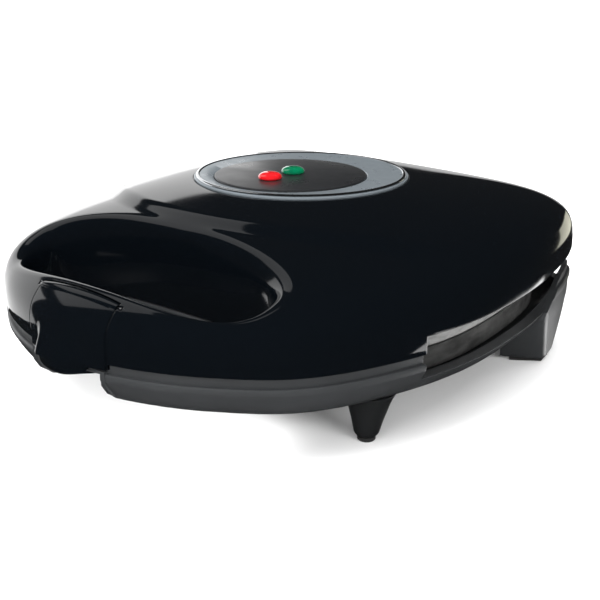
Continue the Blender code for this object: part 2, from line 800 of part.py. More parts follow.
def clip_body(part, half_width, outer, inner, tongue, top_y, columns=8):
    """The clip as a bent plate between two offsets from the handle's surface. Below the parting line only
    its middle goes on, as the tongue that carries the thumb lip and the hook."""
    outer_rows = []
    inner_rows = []
    for i in range(columns + 1):
        across = 2 * i / columns - 1
        path = handle_section(half_width * across, top_y)
        normals = section_normals(path)
        outer_row = []
        inner_row = []
        for k, (point, normal) in enumerate(zip(path, normals)):
            x = across * (half_width if k <= HANDLE_ROWS else tongue)
            swell = lip_swell(x, point.y) if outer == 0 else 0.0
            outer_row.append(part.bm.verts.new((x, *(point + normal * (outer + swell)))))
            inner_row.append(part.bm.verts.new((x, *(point - normal * inner))))
        outer_rows.append(outer_row)
        inner_rows.append(inner_row)
    for rows in (outer_rows, inner_rows):
        for a, b in zip(rows, rows[1:]):
            part.bridge(a, b, closed=False)
    last = len(outer_rows[0]) - 1
    for k in (0, last):
        part.bridge([row[k] for row in outer_rows], [row[k] for row in inner_rows], closed=False)
    for row in (0, columns):
        part.bridge(outer_rows[row], inner_rows[row], closed=False)


def clip_recess_cutter():
    part = Part("clip_recess_cutter", None)
    clip_body(part, CLIP_HALF_WIDTH + CLIP_CLEARANCE, 4.0, CLIP_THICKNESS + CLIP_CLEARANCE,
              TONGUE_HALF_WIDTH + CLIP_CLEARANCE, CLIP_TOP_Y + CLIP_CLEARANCE)
    return part.finish()


def clip_barrel(name, half_width, grow, columns=8):
    """The clip's rolled end: a barrel round its pin that swells to meet the handle's surface."""
    part = Part(name, None)
    profile = []
    for i in range(columns + 1):
        x = half_width * (2 * i / columns - 1)
        profile.append((lid_height(x, LATCH_AXIS_Y) - LATCH_AXIS_Z + grow, x))
    part.loft(part.turned(profile, (0, LATCH_AXIS_Y, LATCH_AXIS_Z), 16, "x"))
    return part.finish()


def latch_clip(pivot):
    """The clip: a plate bent over the handle, with a barrel for its pin, a thumb lip and a hook."""
    part = Part("latch_clip", BLACK_GLOSS, pivot)
    clip_body(part, CLIP_HALF_WIDTH, 0.0, CLIP_THICKNESS, TONGUE_HALF_WIDTH, CLIP_TOP_Y)
    clip = part.finish()
    cut(clip, clip_barrel("clip_barrel", CLIP_HALF_WIDTH, -0.05), "UNION")
    cut(clip, rod_cutter("clip_bore_cutter", LATCH_PIN_RADIUS + GAP, LATCH_AXIS_Y, LATCH_AXIS_Z, 30))
    return clip


def pin(name, radius, y, z, low, high, pivot=None):
    part = Part(name, STEEL, pivot)
    part.loft(part.turned([(radius, low), (radius, high)], (0, y, z), 10, "x"))
    return part.finish()


# The base


def base_shell():
    part = Part("base_shell", BLACK_SATIN)
    hole, edge, inner = skin(part, 0, 0, base_height, 0)
    part.bm.faces.new(inner)
    lip = part.loop(edge_points(0), BASE_LIP)
    step = part.loop(edge_points(1.6), BASE_LIP)
    rim = part.loop(edge_points(1.6), BASE_RIM)
    rim_inside = part.loop(edge_points(1.6 + WALL), BASE_RIM)
    hole_top = part.loop(hole_points(0), BASE_RIM)
    hole_inside = part.loop(hole_points(WALL), BASE_RIM)
    hole_up, edge_up, inner_up = skin(part, 1.6 + WALL, WALL, base_height, FLOOR_THICKNESS)
    part.bm.faces.new(inner_up)
    for stack in ((edge, lip, step, rim, rim_inside, edge_up), (hole, hole_top, hole_inside, hole_up)):
        for a, b in zip(stack, stack[1:]):
            part.bridge(a, b)
    shell = part.finish()
    cut(shell, base_gap_cutter())
    cut(shell, base_fittings(), "UNION")
    cut(shell, clip_recess_cutter(), solver="MANIFOLD")
    notch = Part("notch_cutter", None)
    notch.box((-NOTCH_HALF_WIDTH, -145, 15), (NOTCH_HALF_WIDTH, NOTCH_REAR_Y, NOTCH_TOP))
    cut(shell, notch.finish(), solver="MANIFOLD")
    cut(shell, rod_cutter("base_hinge_cutter", HINGE_PIN_RADIUS + GAP, HINGE_Y, HINGE_Z, 100))
    hole = Part("floor_hole_cutter", None)
    loop = superellipse(COVER_HALF_WIDTH, COVER_HALF_DEPTH)
    hole.loft([hole.loop(loop, BASE_BOTTOM - 4), hole.loop(loop, BASE_BOTTOM + 6)])
    cut(shell, hole.finish())
    cut(shell, drilled("base_screw_cutter", COVER_SCREWS + HANDLE_SCREWS, SCREW_RADIUS + GAP, 18, 30))
    cut(shell, drilled("gland_hole_cutter", (GLAND_PLACE,), GLAND_RADIUS, 18, 30))
    return shell


def base_fittings():
    """What is moulded with the base: the core behind the catch, the rear legs and the posts that carry
    the hinge pins."""
    part = Part("base_fittings", None)
    section = [
        (HINGE_Y - 6, BASE_BOTTOM + 1), (HINGE_Y + 2, BASE_BOTTOM + 1.5), (HINGE_Y + 2, HINGE_Z - 6),
        (HINGE_Y + 4.5, HINGE_Z - 2), (HINGE_Y + 4.5, HINGE_Z + 1), (HINGE_Y + 2, HINGE_Z + 4),
        (HINGE_Y - 2, HINGE_Z + 4), (HINGE_Y - 5, HINGE_Z),
    ]
    core = [
        (-127.2, 31.6), (-124.5, 27.2), (-121, 24.6), (-113.6, 24.6), (-113.6, BASE_RIM - 0.2),
        (-123.9, BASE_RIM - 0.2), (-123.9, PARTING - 3.3), (-127.2, PARTING - 3.3),
    ]
    part.loft([part.loop([(x, y, z) for y, z in core]) for x in (-CORE_HALF_WIDTH, CORE_HALF_WIDTH)])
    for side in (-1, 1):
        rear_leg(part, side)
        for near in (KNUCKLE_X[0] - GAP - POST_WIDTH, KNUCKLE_X[1] + GAP):
            faces = (side * near, side * (near + POST_WIDTH))
            part.loft([part.loop([(x, y, z) for y, z in section]) for x in faces])
    return part.finish()


def rear_leg(part, side):
    """A tapered leg that carries on from the base's side wall. Its front face runs inwards and forwards."""
    front_end, rear_end = LEG_BOTTOM
    low = PAD_THICKNESS + GAP
    sections = (
        # height, front y, rear y, lean, depth at the front and the rear, the inner corner's lead
        (34.5, front_end + 5, 116, 0, 3.2, 3.2, 0), (GAP_LOW - 0.5, 67.5, 116, 0, 3.4, 3.4, 0),
        (BASE_BOTTOM + 3, 66, 115, 0, 10, 8, 4), (BASE_BOTTOM, 67.5, 112, 0.4, 18, 9, 8),
        (14, 71, 101, 1.0, 19, 9, 9), (low, front_end, rear_end, 1.8, 19, 9, 10),
    )
    loops = []
    for z, front, rear, lean, front_depth, rear_depth, forward in sections:
        edge = min(3.0, front_depth / 3)
        ys = (front + edge, (front + rear) / 2, rear)
        loop = [(leg_side_x(y) - 0.4 - lean, y) for y in ys]
        side_x = leg_side_x(front) - 0.4 - lean
        loop.append((loop[2][0] - rear_depth, rear))
        loop.append((side_x - front_depth, front - forward))
        loop.append((side_x - edge, front - forward * edge / front_depth))
        loop.append((side_x - edge * 0.3, front + edge * 0.25))
        loops.append(part.loop([(side * x, y) for x, y in loop], z))
    part.loft(loops)


def leg_side_x(y):
    """The outline's half width at one y behind its widest place."""
    right = OUTLINE[: len(OUTLINE) // 2 + 1]
    for a, b in zip(right, right[1:]):
        if a.y <= y <= b.y and a.x > 60:
            return a.lerp(b, (y - a.y) / (b.y - a.y)).x
    raise ValueError("no side there")


def front_foot(name, side):
    """A tapered foot with a rounded end."""
    part = Part(name, BLACK_SATIN)
    top = BASE_BOTTOM - GAP
    low = PAD_THICKNESS + GAP
    loops = []
    for radius, z, shift in ((4.4, low, 0), (5.4, low + 1.4, 0), (8.9, top - 6, 0.5), (11.2, top, 1)):
        centre = (side * (FOOT_X + shift), FOOT_Y + 0.8 * shift, 0)
        loops += part.turned([(radius, z)], centre, 20)
    part.loft(loops)
    return part.finish()


def rear_pad(name, side):
    """A rubber pad with the plan of the rear leg's end, drawn in a little."""
    part = Part(name, RUBBER)
    front = LEG_BOTTOM[0] + 2.5
    rear = LEG_BOTTOM[1] - 1.5
    at_front = leg_side_x(front)
    at_rear = leg_side_x(rear)
    corners = [(at_front - 4.5, front), (at_rear - 4, rear), (at_rear - 9, rear),
               (at_front - 17.5, front - 9)]
    corners = [(side * x, y) for x, y in corners]
    part.loft([part.loop(corners, 0), part.loop(corners, PAD_THICKNESS)])
    return part.finish()


def base_handle_cover():
    inset = 1.6 + WALL + GAP
    cover = handle_cover("base_handle_cover", inset, WALL + GAP, BASE_RIM - 2.9, BASE_RIM - 0.9, None)
    bosses = drilled("cover_bosses", HANDLE_SCREWS, BOSS_RADIUS - 0.6, BASE_BOTTOM + 4, BASE_RIM - 1.6)
    cut(cover, bosses, "UNION")
    core = Part("cover_core_cutter", None)
    core.box((-CORE_HALF_WIDTH - GAP, -140, 30), (CORE_HALF_WIDTH + GAP, OPENING_Y - OPENING_FRONT + 2, 45))
    cut(cover, core.finish())
    cut(cover, drilled("cover_screw_cutter", HANDLE_SCREWS, SCREW_RADIUS + GAP, 18, 36))
    return cover


def bottom_cover():
    """The pan under the heater, with a flange that screws to the base's floor."""
    part = Part("bottom_cover", BLACK_SATIN)
    flange = BASE_BOTTOM - GAP
    loops = []
    profile = ((-4, 13), (0, flange - 1.5), (9, flange - 1.5), (9, flange), (-1.6, flange), (-5.6, 14.6))
    for grow, z in profile:
        loops.append(part.loop(superellipse(COVER_HALF_WIDTH + grow, COVER_HALF_DEPTH + grow), z))
    part.loft(loops)
    cover = part.finish()
    cut(cover, drilled("bottom_screw_cutter", COVER_SCREWS, SCREW_RADIUS + GAP, 18, 30))
    return cover


def screw(name, place, head_z, length, pivot=None):
    """A pan-head screw driven up from below."""
    part = Part(name, STEEL, pivot)
    profile = [(SCREW_HEAD * 0.7, head_z - 1.6), (SCREW_HEAD, head_z - 0.9), (SCREW_HEAD, head_z),
               (SCREW_RADIUS, head_z), (SCREW_RADIUS, head_z + length)]
    part.loft(part.turned(profile, (*place, 0), 10))
    return part.finish()


def cable_gland():
    """The bush in the base's floor through which the lead enters."""
    part = Part("cable_gland", RUBBER)
    low = BASE_BOTTOM - 2.4
    top = BASE_BOTTOM + FLOOR_THICKNESS + 1.5
    bore = GLAND_RADIUS - 2
    flange = BASE_BOTTOM - GAP
    neck = GLAND_RADIUS - GAP
    profile = [(GLAND_RADIUS + 1.6, low), (GLAND_RADIUS + 1.6, flange), (neck, flange), (neck, top),
               (bore, top), (bore, low)]
    part.loft(part.turned(profile, (*GLAND_PLACE, 0), 16), ring=True)
    return part.finish()


def block(name, look, low, high, pivot=None):
    part = Part(name, look, pivot)
    part.box(low, high)
    return part.finish()


def make_lid():
    hinge = make_pivot("lid_hinge", HINGE_Y, HINGE_Z)
    plate_back = SEAM + GAP + PLATE_THICKNESS
    lid_shell(hinge)
    trim_ring(hinge)
    badge_disc(hinge)
    lens("red_lens", LAMP_PLACES["red"], RED_LENS, hinge)
    lens("green_lens", LAMP_PLACES["green"], GREEN_LENS, hinge)
    neon_lamp("power_lamp", LAMP_PLACES["red"], hinge)
    neon_lamp("ready_lamp", LAMP_PLACES["green"], hinge)
    lamp_board(hinge)
    cover = handle_cover("lid_handle_cover", WALL + GAP, WALL + GAP, LID_COVER_Z, LID_COVER_Z + 2, hinge)
    cut(cover, drilled("lid_cover_cutter", HANDLE_SCREWS, SCREW_RADIUS + GAP, 40, 50))
    frame_ring("upper_frame", SEAM + GAP, GAP_HIGH + 2, hinge)
    baking_plate("upper_plate", SEAM + GAP, -1, hinge)
    heater("upper_heater", plate_back + 3.6, hinge)
    reflector("upper_reflector", plate_back + 13, plate_back + 9, 80, hinge)
    small_cylinder("thermostat", STEEL, (0, 46), 9.5, plate_back + GAP, plate_back + 7, hinge, 16)
    small_cylinder("thermal_fuse", WHITE_SLEEVE, (24, 46), 3, plate_back + GAP, plate_back + 6, hinge)
    wire_sleeve(hinge)
    for side, place in zip(("right", "left"), HANDLE_SCREWS):
        screw("lid_handle_screw_" + side, place, LID_COVER_Z - GAP, 12, hinge)
    pin("latch_pin", LATCH_PIN_RADIUS, LATCH_AXIS_Y, LATCH_AXIS_Z, -25.8, 25.8, hinge)
    latch = make_pivot("latch_hinge", LATCH_AXIS_Y, LATCH_AXIS_Z)
    latch_clip(latch)


def make_base():
    base_shell()
    base_handle_cover()
    bottom_cover()
    frame_ring("lower_frame", SEAM - GAP - PLATE_THICKNESS, SEAM - GAP, None)
    baking_plate("lower_plate", SEAM - GAP, 1, None)
    heater("lower_heater", 21.6, None)
    reflector("lower_reflector", 15.1, 17.4, 71, None)
    block("terminal_block", CERAMIC, (-12, 108, BASE_BOTTOM + FLOOR_THICKNESS + GAP), (12, 118, 31))
    cable_gland()
    for side, name in ((1, "right"), (-1, "left")):
        front_foot("front_foot_" + name, side)
        small_cylinder("front_pad_" + name, RUBBER, (side * FOOT_X, FOOT_Y), 4, 0, PAD_THICKNESS, None)
        rear_pad("rear_pad_" + name, side)
        low, high = sorted((side * (KNUCKLE_X[0] - 4.5), side * (KNUCKLE_X[1] + 4.5)))
        pin("hinge_pin_" + name, HINGE_PIN_RADIUS, HINGE_Y, HINGE_Z, low, high)
        place = (side * HANDLE_SCREWS[0][0], HANDLE_SCREWS[0][1])
        screw("base_handle_screw_" + name, place, BASE_BOTTOM - GAP, 12)
    for i, place in enumerate(COVER_SCREWS):
        screw(f"cover_screw_{i + 1}", place, BASE_BOTTOM - 1.5 - 2 * GAP, 5)


def main():
    clear_scene()
    make_lid()
    make_base()


main()
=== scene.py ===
"""Looks for the clamshell donut maker. Shapes are worked out in millimetres in the frame's own axes:
the handle is at -Y, the hinge at +Y, and the floor is z = 0."""

import math

import bmesh
import bpy
import numpy as np
from mathutils import Euler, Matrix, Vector
from mathutils.geometry import interpolate_bezier


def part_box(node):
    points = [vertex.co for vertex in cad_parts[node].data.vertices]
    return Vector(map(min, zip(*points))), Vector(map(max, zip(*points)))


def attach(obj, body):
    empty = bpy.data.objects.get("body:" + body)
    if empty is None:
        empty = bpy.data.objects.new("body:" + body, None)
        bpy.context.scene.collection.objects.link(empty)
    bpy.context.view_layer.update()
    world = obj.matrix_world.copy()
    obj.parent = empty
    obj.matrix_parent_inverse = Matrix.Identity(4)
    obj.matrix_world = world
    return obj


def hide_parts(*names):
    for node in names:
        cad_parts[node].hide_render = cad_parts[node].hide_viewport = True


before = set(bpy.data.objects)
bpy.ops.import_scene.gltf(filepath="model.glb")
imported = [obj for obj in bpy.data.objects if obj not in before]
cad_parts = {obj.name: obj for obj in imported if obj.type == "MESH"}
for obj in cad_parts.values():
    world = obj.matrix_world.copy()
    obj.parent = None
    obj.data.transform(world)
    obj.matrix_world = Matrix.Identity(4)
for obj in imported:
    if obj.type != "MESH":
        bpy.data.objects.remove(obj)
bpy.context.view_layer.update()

MM = 0.001


def node_box(node):
    """A node's lowest and highest corner in millimetres."""
    low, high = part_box(node)
    return low / MM, high / MM


def node_middle(node):
    low, high = node_box(node)
    return (low + high) / 2


# The frame's own driving sizes, in millimetres
GAP = 0.3
BASE_BOTTOM = 23.0
BASE_LIP = 37.0
BASE_RIM = 40.6
PARTING = 41.0
GAP_LOW = 30.0
GAP_HIGH = 49.0
GAP_FRONT_Y = -38.0
EDGE_TOP = 46.5
CROWN = 90.0
DOME_TOP = 89.0
HALF_OUTLINE = (
    (0, -130), (30, -125.5), (62, -112), (92, -89), (111.2, -52), (121.5, -8),
    (121, 40), (114.5, 82), (106.5, 112), (98, 128), (76, 133.5), (0, 133.5),
)
CURVE_STEPS = 24
OUTLINE_SCALE = 0.9975  # draws the fine shapes in, clear of the frame's box
CHORD_Y = -47.0
RING_Y = 23.0
RING_RADIUS = 52.0
RING_FOOT = 1.3
RING_GAP = 1.8
RECESS_Z = 88.4
DOME_POWER = 1.2
FRONT_ROUNDNESS = 2.7
REAR_ROUNDNESS = 4.2
STEP_DEPTH = 3.0
STEP_RADIUS = 121.0
STEP_CENTRE_Y = 63.0
STEP_WIDTH = 8.0
OPENING_Y = -84.0
OPENING_HALF_WIDTH = 69.2
OPENING_FRONT = 28.0
OPENING_REAR = 19.0
OPENING_FRONT_POWER = 2.3
OPENING_REAR_POWER = 2.6
RIM_ROUND = 6.0
RIM_WIDEN = 6.0
WALL = 2.6
BASE_TAPER = 9.0
BASE_TAPER_POWER = 1.7
FLOOR_THICKNESS = 2.5
CLIP_HALF_WIDTH = 23.5
CLIP_THICKNESS = 2.4
CLIP_CLEARANCE = 0.5
LATCH_AXIS_Y = -118.0
LATCH_AXIS_Z = 61.8
LATCH_PIN_CLEARANCE_X = 26.2  # half the length of the pin's hole
LATCH_CORE_HALF_WIDTH = 28.0
CORE_REAR_Y = -112.8
LIP_REACH = 4.6
TONGUE_HALF_WIDTH = 13.0
NOTCH_HALF_WIDTH = 20.5
CORE_HALF_WIDTH = NOTCH_HALF_WIDTH + 2.5
NOTCH_REAR_Y = -104.0
NOTCH_TOP = 36.6
HOOK_BOTTOM = 33.8
HOOK_BEND = 3.4
HOOK_REACH = 6.2
HINGE_Y = 125.0
HINGE_Z = 41.0
HINGE_PIN_RADIUS = 1.8
KNUCKLE_RADIUS = 4.2
KNUCKLE_X = (76.0, 84.0)
POST_WIDTH = 4.5
BAY_Y = 30.0
BAY_HALF_DEPTH = 72.8
BAY_INSET = 13.2
BAY_POWER = 10.0
FRAME_WALL = 1.6
CAVITY_RADIUS = 23.0
CAVITY_POST = 6.5
CAVITY_DEPTH = 8.0
CAVITY_CENTRES = (
    (0, BAY_Y), (55, BAY_Y), (-55, BAY_Y),
    (27.5, BAY_Y + 45), (-27.5, BAY_Y + 45), (27.5, BAY_Y - 45), (-27.5, BAY_Y - 45),
)
LEG_SECTIONS = np.array((
    # height, front y, rear y, lean, depth at the front and the rear, the inner corner's lead
    (2.3, 75.5, 89.5, 1.8, 19, 9, 10), (14, 71, 101, 1.0, 19, 9, 9), (23, 67.5, 112, 0.4, 18, 9, 8),
    (26, 66, 115, 0, 10, 8, 4), (29.5, 67.5, 116, 0, 3.4, 3.4, 0), (34.5, 80.5, 116, 0, 3.2, 3.2, 0),
))
FOOT_X = 93.0
FOOT_Y = -47.0
LAMP_PLACES = {"red": (0, -0.6), "green": (0, 16.6)}
LENS_RADIUS = 5.8
DISC_RADIUS = 37.5
DISC_Y = 14.7
COVER_HALF_WIDTH = 80.0
COVER_HALF_DEPTH = 50.0
COVER_THICKNESS = 2.0
GLAND_RADIUS = 5.0
SCREW_RADIUS = 1.3


# Outlines, as arrays of flat points.


def smooth_closed(points, steps):
    """A closed curve through the points, with steps segments between one point and the next."""
    count = len(points)
    curve = []
    for i in range(count):
        before, start, end, after = (points[(i + k) % count] for k in (-1, 0, 1, 2))
        reach = (end - start).length / 3
        leaving = (end - before).normalized() * reach
        arriving = (after - start).normalized() * reach
        curve += interpolate_bezier(start, start + leaving, end - arriving, end, steps + 1)[:-1]
    return np.array([p[:2] for p in curve])


def make_outline():
    right = [Vector((x, y, 0)) for x, y in HALF_OUTLINE]
    left = [Vector((-p.x, p.y, 0)) for p in reversed(right[1:-1])]
    return smooth_closed(right + left, CURVE_STEPS)


OUTLINE = make_outline() * OUTLINE_SCALE


def inset_outline(inset):
    along = np.roll(OUTLINE, -1, axis=0) - np.roll(OUTLINE, 1, axis=0)
    inward = np.stack([-along[:, 1], along[:, 0]], axis=1)
    return OUTLINE + inset * inward / np.linalg.norm(inward, axis=1)[:, None]


def along_path(points, shares):
    """Points at the given shares of an open path's length."""
    lengths = np.concatenate([[0], np.cumsum(np.linalg.norm(np.diff(points, axis=0), axis=1))])
    wanted = np.asarray(shares) * lengths[-1]
    return np.stack([np.interp(wanted, lengths, points[:, k]) for k in (0, 1)], axis=1)


def polar_lookup(points, centre):
    """A function from an angle to how far a closed outline is from a centre inside it."""
    offset = points - centre
    angles = np.arctan2(offset[:, 1], offset[:, 0])
    order = np.argsort(angles)
    radii = np.linalg.norm(offset, axis=1)
    return lambda angle: np.interp(angle, angles[order], radii[order], period=2 * math.pi)


outline_reach = polar_lookup(OUTLINE, (0, RING_Y))


def opening_radius(angle, outset=0.0):
    """The finger opening's outline, in polar form about its own centre."""
    c = np.abs(np.cos(angle))
    s = np.sin(angle)
    rear = (c / (OPENING_HALF_WIDTH + outset)) ** OPENING_REAR_POWER
    rear = rear + (np.abs(s) / (OPENING_REAR + outset)) ** OPENING_REAR_POWER
    front = (c / (OPENING_HALF_WIDTH + outset)) ** OPENING_FRONT_POWER
    front = front + (np.abs(s) / (OPENING_FRONT + outset)) ** OPENING_FRONT_POWER
    return np.where(s > 0, rear ** (-1 / OPENING_REAR_POWER), front ** (-1 / OPENING_FRONT_POWER))


def opening_loop(towards, outset):
    angle = np.arctan2(towards[:, 1] - OPENING_Y, towards[:, 0])
    radius = opening_radius(angle, outset)
    return np.stack([radius * np.cos(angle), OPENING_Y + radius * np.sin(angle)], axis=1)


def superellipse(half_width, half_depth, centre_y=BAY_Y, power=4.0, steps=120):
    angle = 2 * math.pi * (np.arange(steps) + 0.5) / steps
    c = np.cos(angle)
    s = np.sin(angle)
    radius = ((np.abs(c) / half_width) ** power + (np.abs(s) / half_depth) ** power) ** (-1 / power)
    return np.stack([radius * c, centre_y + radius * s], axis=1)


def bay_loop(inset, half_depth, steps=200):
    """A loop that follows the outline at a distance, cut straight at the bay's front and rear."""
    reach = polar_lookup(inset_outline(inset), (0, BAY_Y))
    angle = 2 * math.pi * (np.arange(steps) + 0.5) / steps
    straight = half_depth / np.abs(np.sin(angle))
    radius = (reach(angle) ** -BAY_POWER + straight**-BAY_POWER) ** (-1 / BAY_POWER)
    return np.stack([radius * np.cos(angle), BAY_Y + radius * np.sin(angle)], axis=1)


# Surface heights


def smoothstep(value):
    value = np.clip(value, 0.0, 1.0)
    return value * value * (3 - 2 * value)


def edge_share(x, y):
    """0 on the plateau's edge and inside it, 1 on the outline."""
    distance = np.hypot(x, y - RING_Y)
    edge = outline_reach(np.arctan2(y - RING_Y, x))
    return np.clip((distance - RING_RADIUS) / (edge - RING_RADIUS), 0.0, 1.0)


def rim_rounding(angle):
    """The radius of the opening's rim, largest at its left and right ends."""
    return RIM_ROUND + RIM_WIDEN * np.cos(angle) ** 4


def rim_drop(x, y):
    """How far the lid's surface has turned down into the finger opening."""
    angle = np.arctan2(y - OPENING_Y, x)
    distance = np.hypot(x, y - OPENING_Y) - opening_radius(angle)
    rounding = rim_rounding(angle)
    inside = 1 - np.clip(distance / rounding, 0.0, 1.0)
    return rounding * (1 - np.sqrt(1 - inside * inside))


def lid_height(x, y):
    """The lid's outer surface: a dome that turns down to a vertical edge, lower in front of the step."""
    share = edge_share(x, y)
    rear = smoothstep((y - RING_Y + 40) / 110)
    roundness = FRONT_ROUNDNESS + (REAR_ROUNDNESS - FRONT_ROUNDNESS) * rear
    drop = (DOME_TOP - EDGE_TOP) * (1 - np.maximum(1 - share**DOME_POWER, 0.0) ** (1 / roundness))
    beyond = np.hypot(x, y - STEP_CENTRE_Y) - STEP_RADIUS
    fade = 1 - smoothstep((np.abs(x) - 92) / 26)
    front = smoothstep((STEP_CENTRE_Y - 60 - y) / 30)
    drop = drop + STEP_DEPTH * smoothstep(beyond / STEP_WIDTH + 0.5) * fade * front * (1 - share**4)
    return DOME_TOP - drop - rim_drop(x, y)


def base_height(x, y):
    """The base's underside: a flat floor whose edge curves up to the outer wall."""
    distance = np.hypot(x, y - RING_Y)
    edge = outline_reach(np.arctan2(y - RING_Y, x))
    inside = 1 - np.clip((edge - distance) / BASE_TAPER, 0.0, 1.0)
    return BASE_BOTTOM + (BASE_LIP - 3 - BASE_BOTTOM) * inside**BASE_TAPER_POWER


# Mesh building


class Shape:
    """A mesh in the making, in millimetres."""

    def __init__(self):
        self.bm = bmesh.new()

    def row(self, points, z=None):
        if z is not None:
            points = [(p[0], p[1], z) for p in points]
        return [self.bm.verts.new(Vector(p)) for p in points]

    def bridge(self, first, second, closed=True):
        count = len(first)
        for i in range(count if closed else count - 1):
            k = (i + 1) % count
            self.bm.faces.new((first[i], first[k], second[k], second[i]))

    def loft(self, rows, ring=False, closed=True):
        """Walls between rows, then caps, or a wall from the last row back to the first."""
        for a, b in zip(rows, rows[1:]):
            self.bridge(a, b, closed)
        if ring:
            self.bridge(rows[-1], rows[0], closed)
        elif closed:
            self.bm.faces.new(rows[0])
            self.bm.faces.new(rows[-1])

    def turned(self, profile, centre=(0, 0, 0), steps=48, axis="z", ring=False):
        """A profile of (radius, height) pairs turned round an axis through the centre."""
        rows = []
        for radius, height in profile:
            points = []
            for i in range(steps):
                angle = 2 * math.pi * i / steps
                c = radius * math.cos(angle)
                s = radius * math.sin(angle)
                around = {"x": (height, c, s), "y": (s, height, c), "z": (c, s, height)}[axis]
                points.append(Vector(centre) + Vector(around))
            rows.append(self.row(points))
        self.loft(rows, ring)
        return rows

    def box(self, low, high):
        corners = [(low[0], low[1]), (high[0], low[1]), (high[0], high[1]), (low[0], high[1])]
        self.loft([self.row(corners, low[2]), self.row(corners, high[2])])

    def obj(self, name):
        bmesh.ops.recalc_face_normals(self.bm, faces=self.bm.faces[:])
        for vert in self.bm.verts:
            vert.co *= MM
        mesh = bpy.data.meshes.new(name)
        self.bm.to_mesh(mesh)
        self.bm.free()
        made = bpy.data.objects.new(name, mesh)
        bpy.context.scene.collection.objects.link(made)
        return made


def shade(obj, angle=32):
    obj.data.shade_smooth()
    obj.data.set_sharp_from_angle(angle=math.radians(angle))


def cut(obj, cutter, operation="DIFFERENCE", solver="MANIFOLD"):
    """Cuts or joins at once, and takes the cutter away."""
    modifier = obj.modifiers.new(cutter.name, "BOOLEAN")
    modifier.operation = operation
    modifier.object = cutter
    modifier.solver = solver
    bake(obj)
    bpy.data.objects.remove(cutter)


def bake(obj):
    """Replaces the mesh by what the modifiers make of it."""
    graph = bpy.context.evaluated_depsgraph_get()
    mesh = bpy.data.meshes.new_from_object(obj.evaluated_get(graph))
    obj.modifiers.clear()
    old = obj.data
    obj.data = mesh
    bpy.data.meshes.remove(old)


def place(obj, body, material, slot, *nodes):
    """Gives a finished piece its material, its body and the CAD nodes that it stands for."""
    obj.data.materials.clear()
    obj.data.materials.append(material)
    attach(obj, body)
    if nodes:
        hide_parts(*nodes)
    return obj


# Materials. Each is built from nodes on object coordinates, so that its grain has a real size.


class Look:
    """A Principled material with helpers that add noise to its colour, roughness and surface."""

    def __init__(self, name, colour, roughness, metallic=0.0):
        self.material = bpy.data.materials.new(name)
        self.material.use_nodes = True
        self.nodes = self.material.node_tree.nodes
        self.links = self.material.node_tree.links
        self.shader = self.nodes["Principled BSDF"]
        self.set("Base Color", (*colour, 1))
        self.set("Roughness", roughness)
        self.set("Metallic", metallic)
        self.coords = self.nodes.new("ShaderNodeTexCoord")
        self.height = None

    def set(self, socket, value):
        self.shader.inputs[socket].default_value = value

    def noise(self, scale, detail=3.0, stretch=(1, 1, 1), roughness=0.5):
        mapping = self.nodes.new("ShaderNodeMapping")
        mapping.inputs["Scale"].default_value = stretch
        self.links.new(self.coords.outputs["Object"], mapping.inputs["Vector"])
        texture = self.nodes.new("ShaderNodeTexNoise")
        texture.inputs["Scale"].default_value = scale
        texture.inputs["Detail"].default_value = detail
        texture.inputs["Roughness"].default_value = roughness
        self.links.new(mapping.outputs["Vector"], texture.inputs["Vector"])
        return texture.outputs["Fac"]

    def spread(self, source, low, high, start=0.3, end=0.7):
        node = self.nodes.new("ShaderNodeMapRange")
        node.inputs["From Min"].default_value = start
        node.inputs["From Max"].default_value = end
        node.inputs["To Min"].default_value = low
        node.inputs["To Max"].default_value = high
        self.links.new(source, node.inputs["Value"])
        return node.outputs["Result"]

    def vary_roughness(self, source, low, high, start=0.3, end=0.7):
        self.links.new(self.spread(source, low, high, start, end), self.shader.inputs["Roughness"])

    def vary_colour(self, source, first, second, start=0.3, end=0.7):
        ramp = self.nodes.new("ShaderNodeValToRGB")
        ramp.color_ramp.elements[0].position = start
        ramp.color_ramp.elements[0].color = (*first, 1)
        ramp.color_ramp.elements[1].position = end
        ramp.color_ramp.elements[1].color = (*second, 1)
        self.links.new(source, ramp.inputs["Fac"])
        self.links.new(ramp.outputs["Color"], self.shader.inputs["Base Color"])

    def bump(self, source, depth_mm, strength=1.0):
        node = self.nodes.new("ShaderNodeBump")
        node.inputs["Strength"].default_value = strength
        node.inputs["Distance"].default_value = depth_mm * MM
        self.links.new(source, node.inputs["Height"])
        if self.height:
            self.links.new(self.height, node.inputs["Normal"])
        self.height = node.outputs["Normal"]
        self.links.new(self.height, self.shader.inputs["Normal"])

    def soft_edges(self, radius_mm, samples=6):
        """Rounds the look of edges that are finer than the mesh."""
        node = self.nodes.new("ShaderNodeBevel")
        node.samples = samples
        node.inputs["Radius"].default_value = radius_mm * MM
        self.height = node.outputs["Normal"]
        self.links.new(self.height, self.shader.inputs["Normal"])


def gloss_black():
    look = Look("gloss_black_plastic", (0.0012, 0.0018, 0.0026), 0.06)
    look.soft_edges(0.45)
    look.vary_roughness(look.noise(28, 5), 0.05, 0.11)
    look.bump(look.noise(55, 2), 0.012, 0.5)
    look.set("IOR", 1.5)
    return look.material


def satin_black(name, level):
    look = Look(name, (0.02, 0.021, 0.022), 0.38)
    look.soft_edges(0.5)
    # The level scales the colour; below 1 it paints shade, as on the front feet.
    dark = tuple(level * c for c in (0.017, 0.018, 0.019))
    look.vary_colour(look.noise(18, 4), dark, tuple(1.5 * c for c in dark))
    look.vary_roughness(look.noise(40, 5), 0.33, 0.44)
    look.bump(look.noise(1400, 2), 0.03, 0.5)
    return look.material


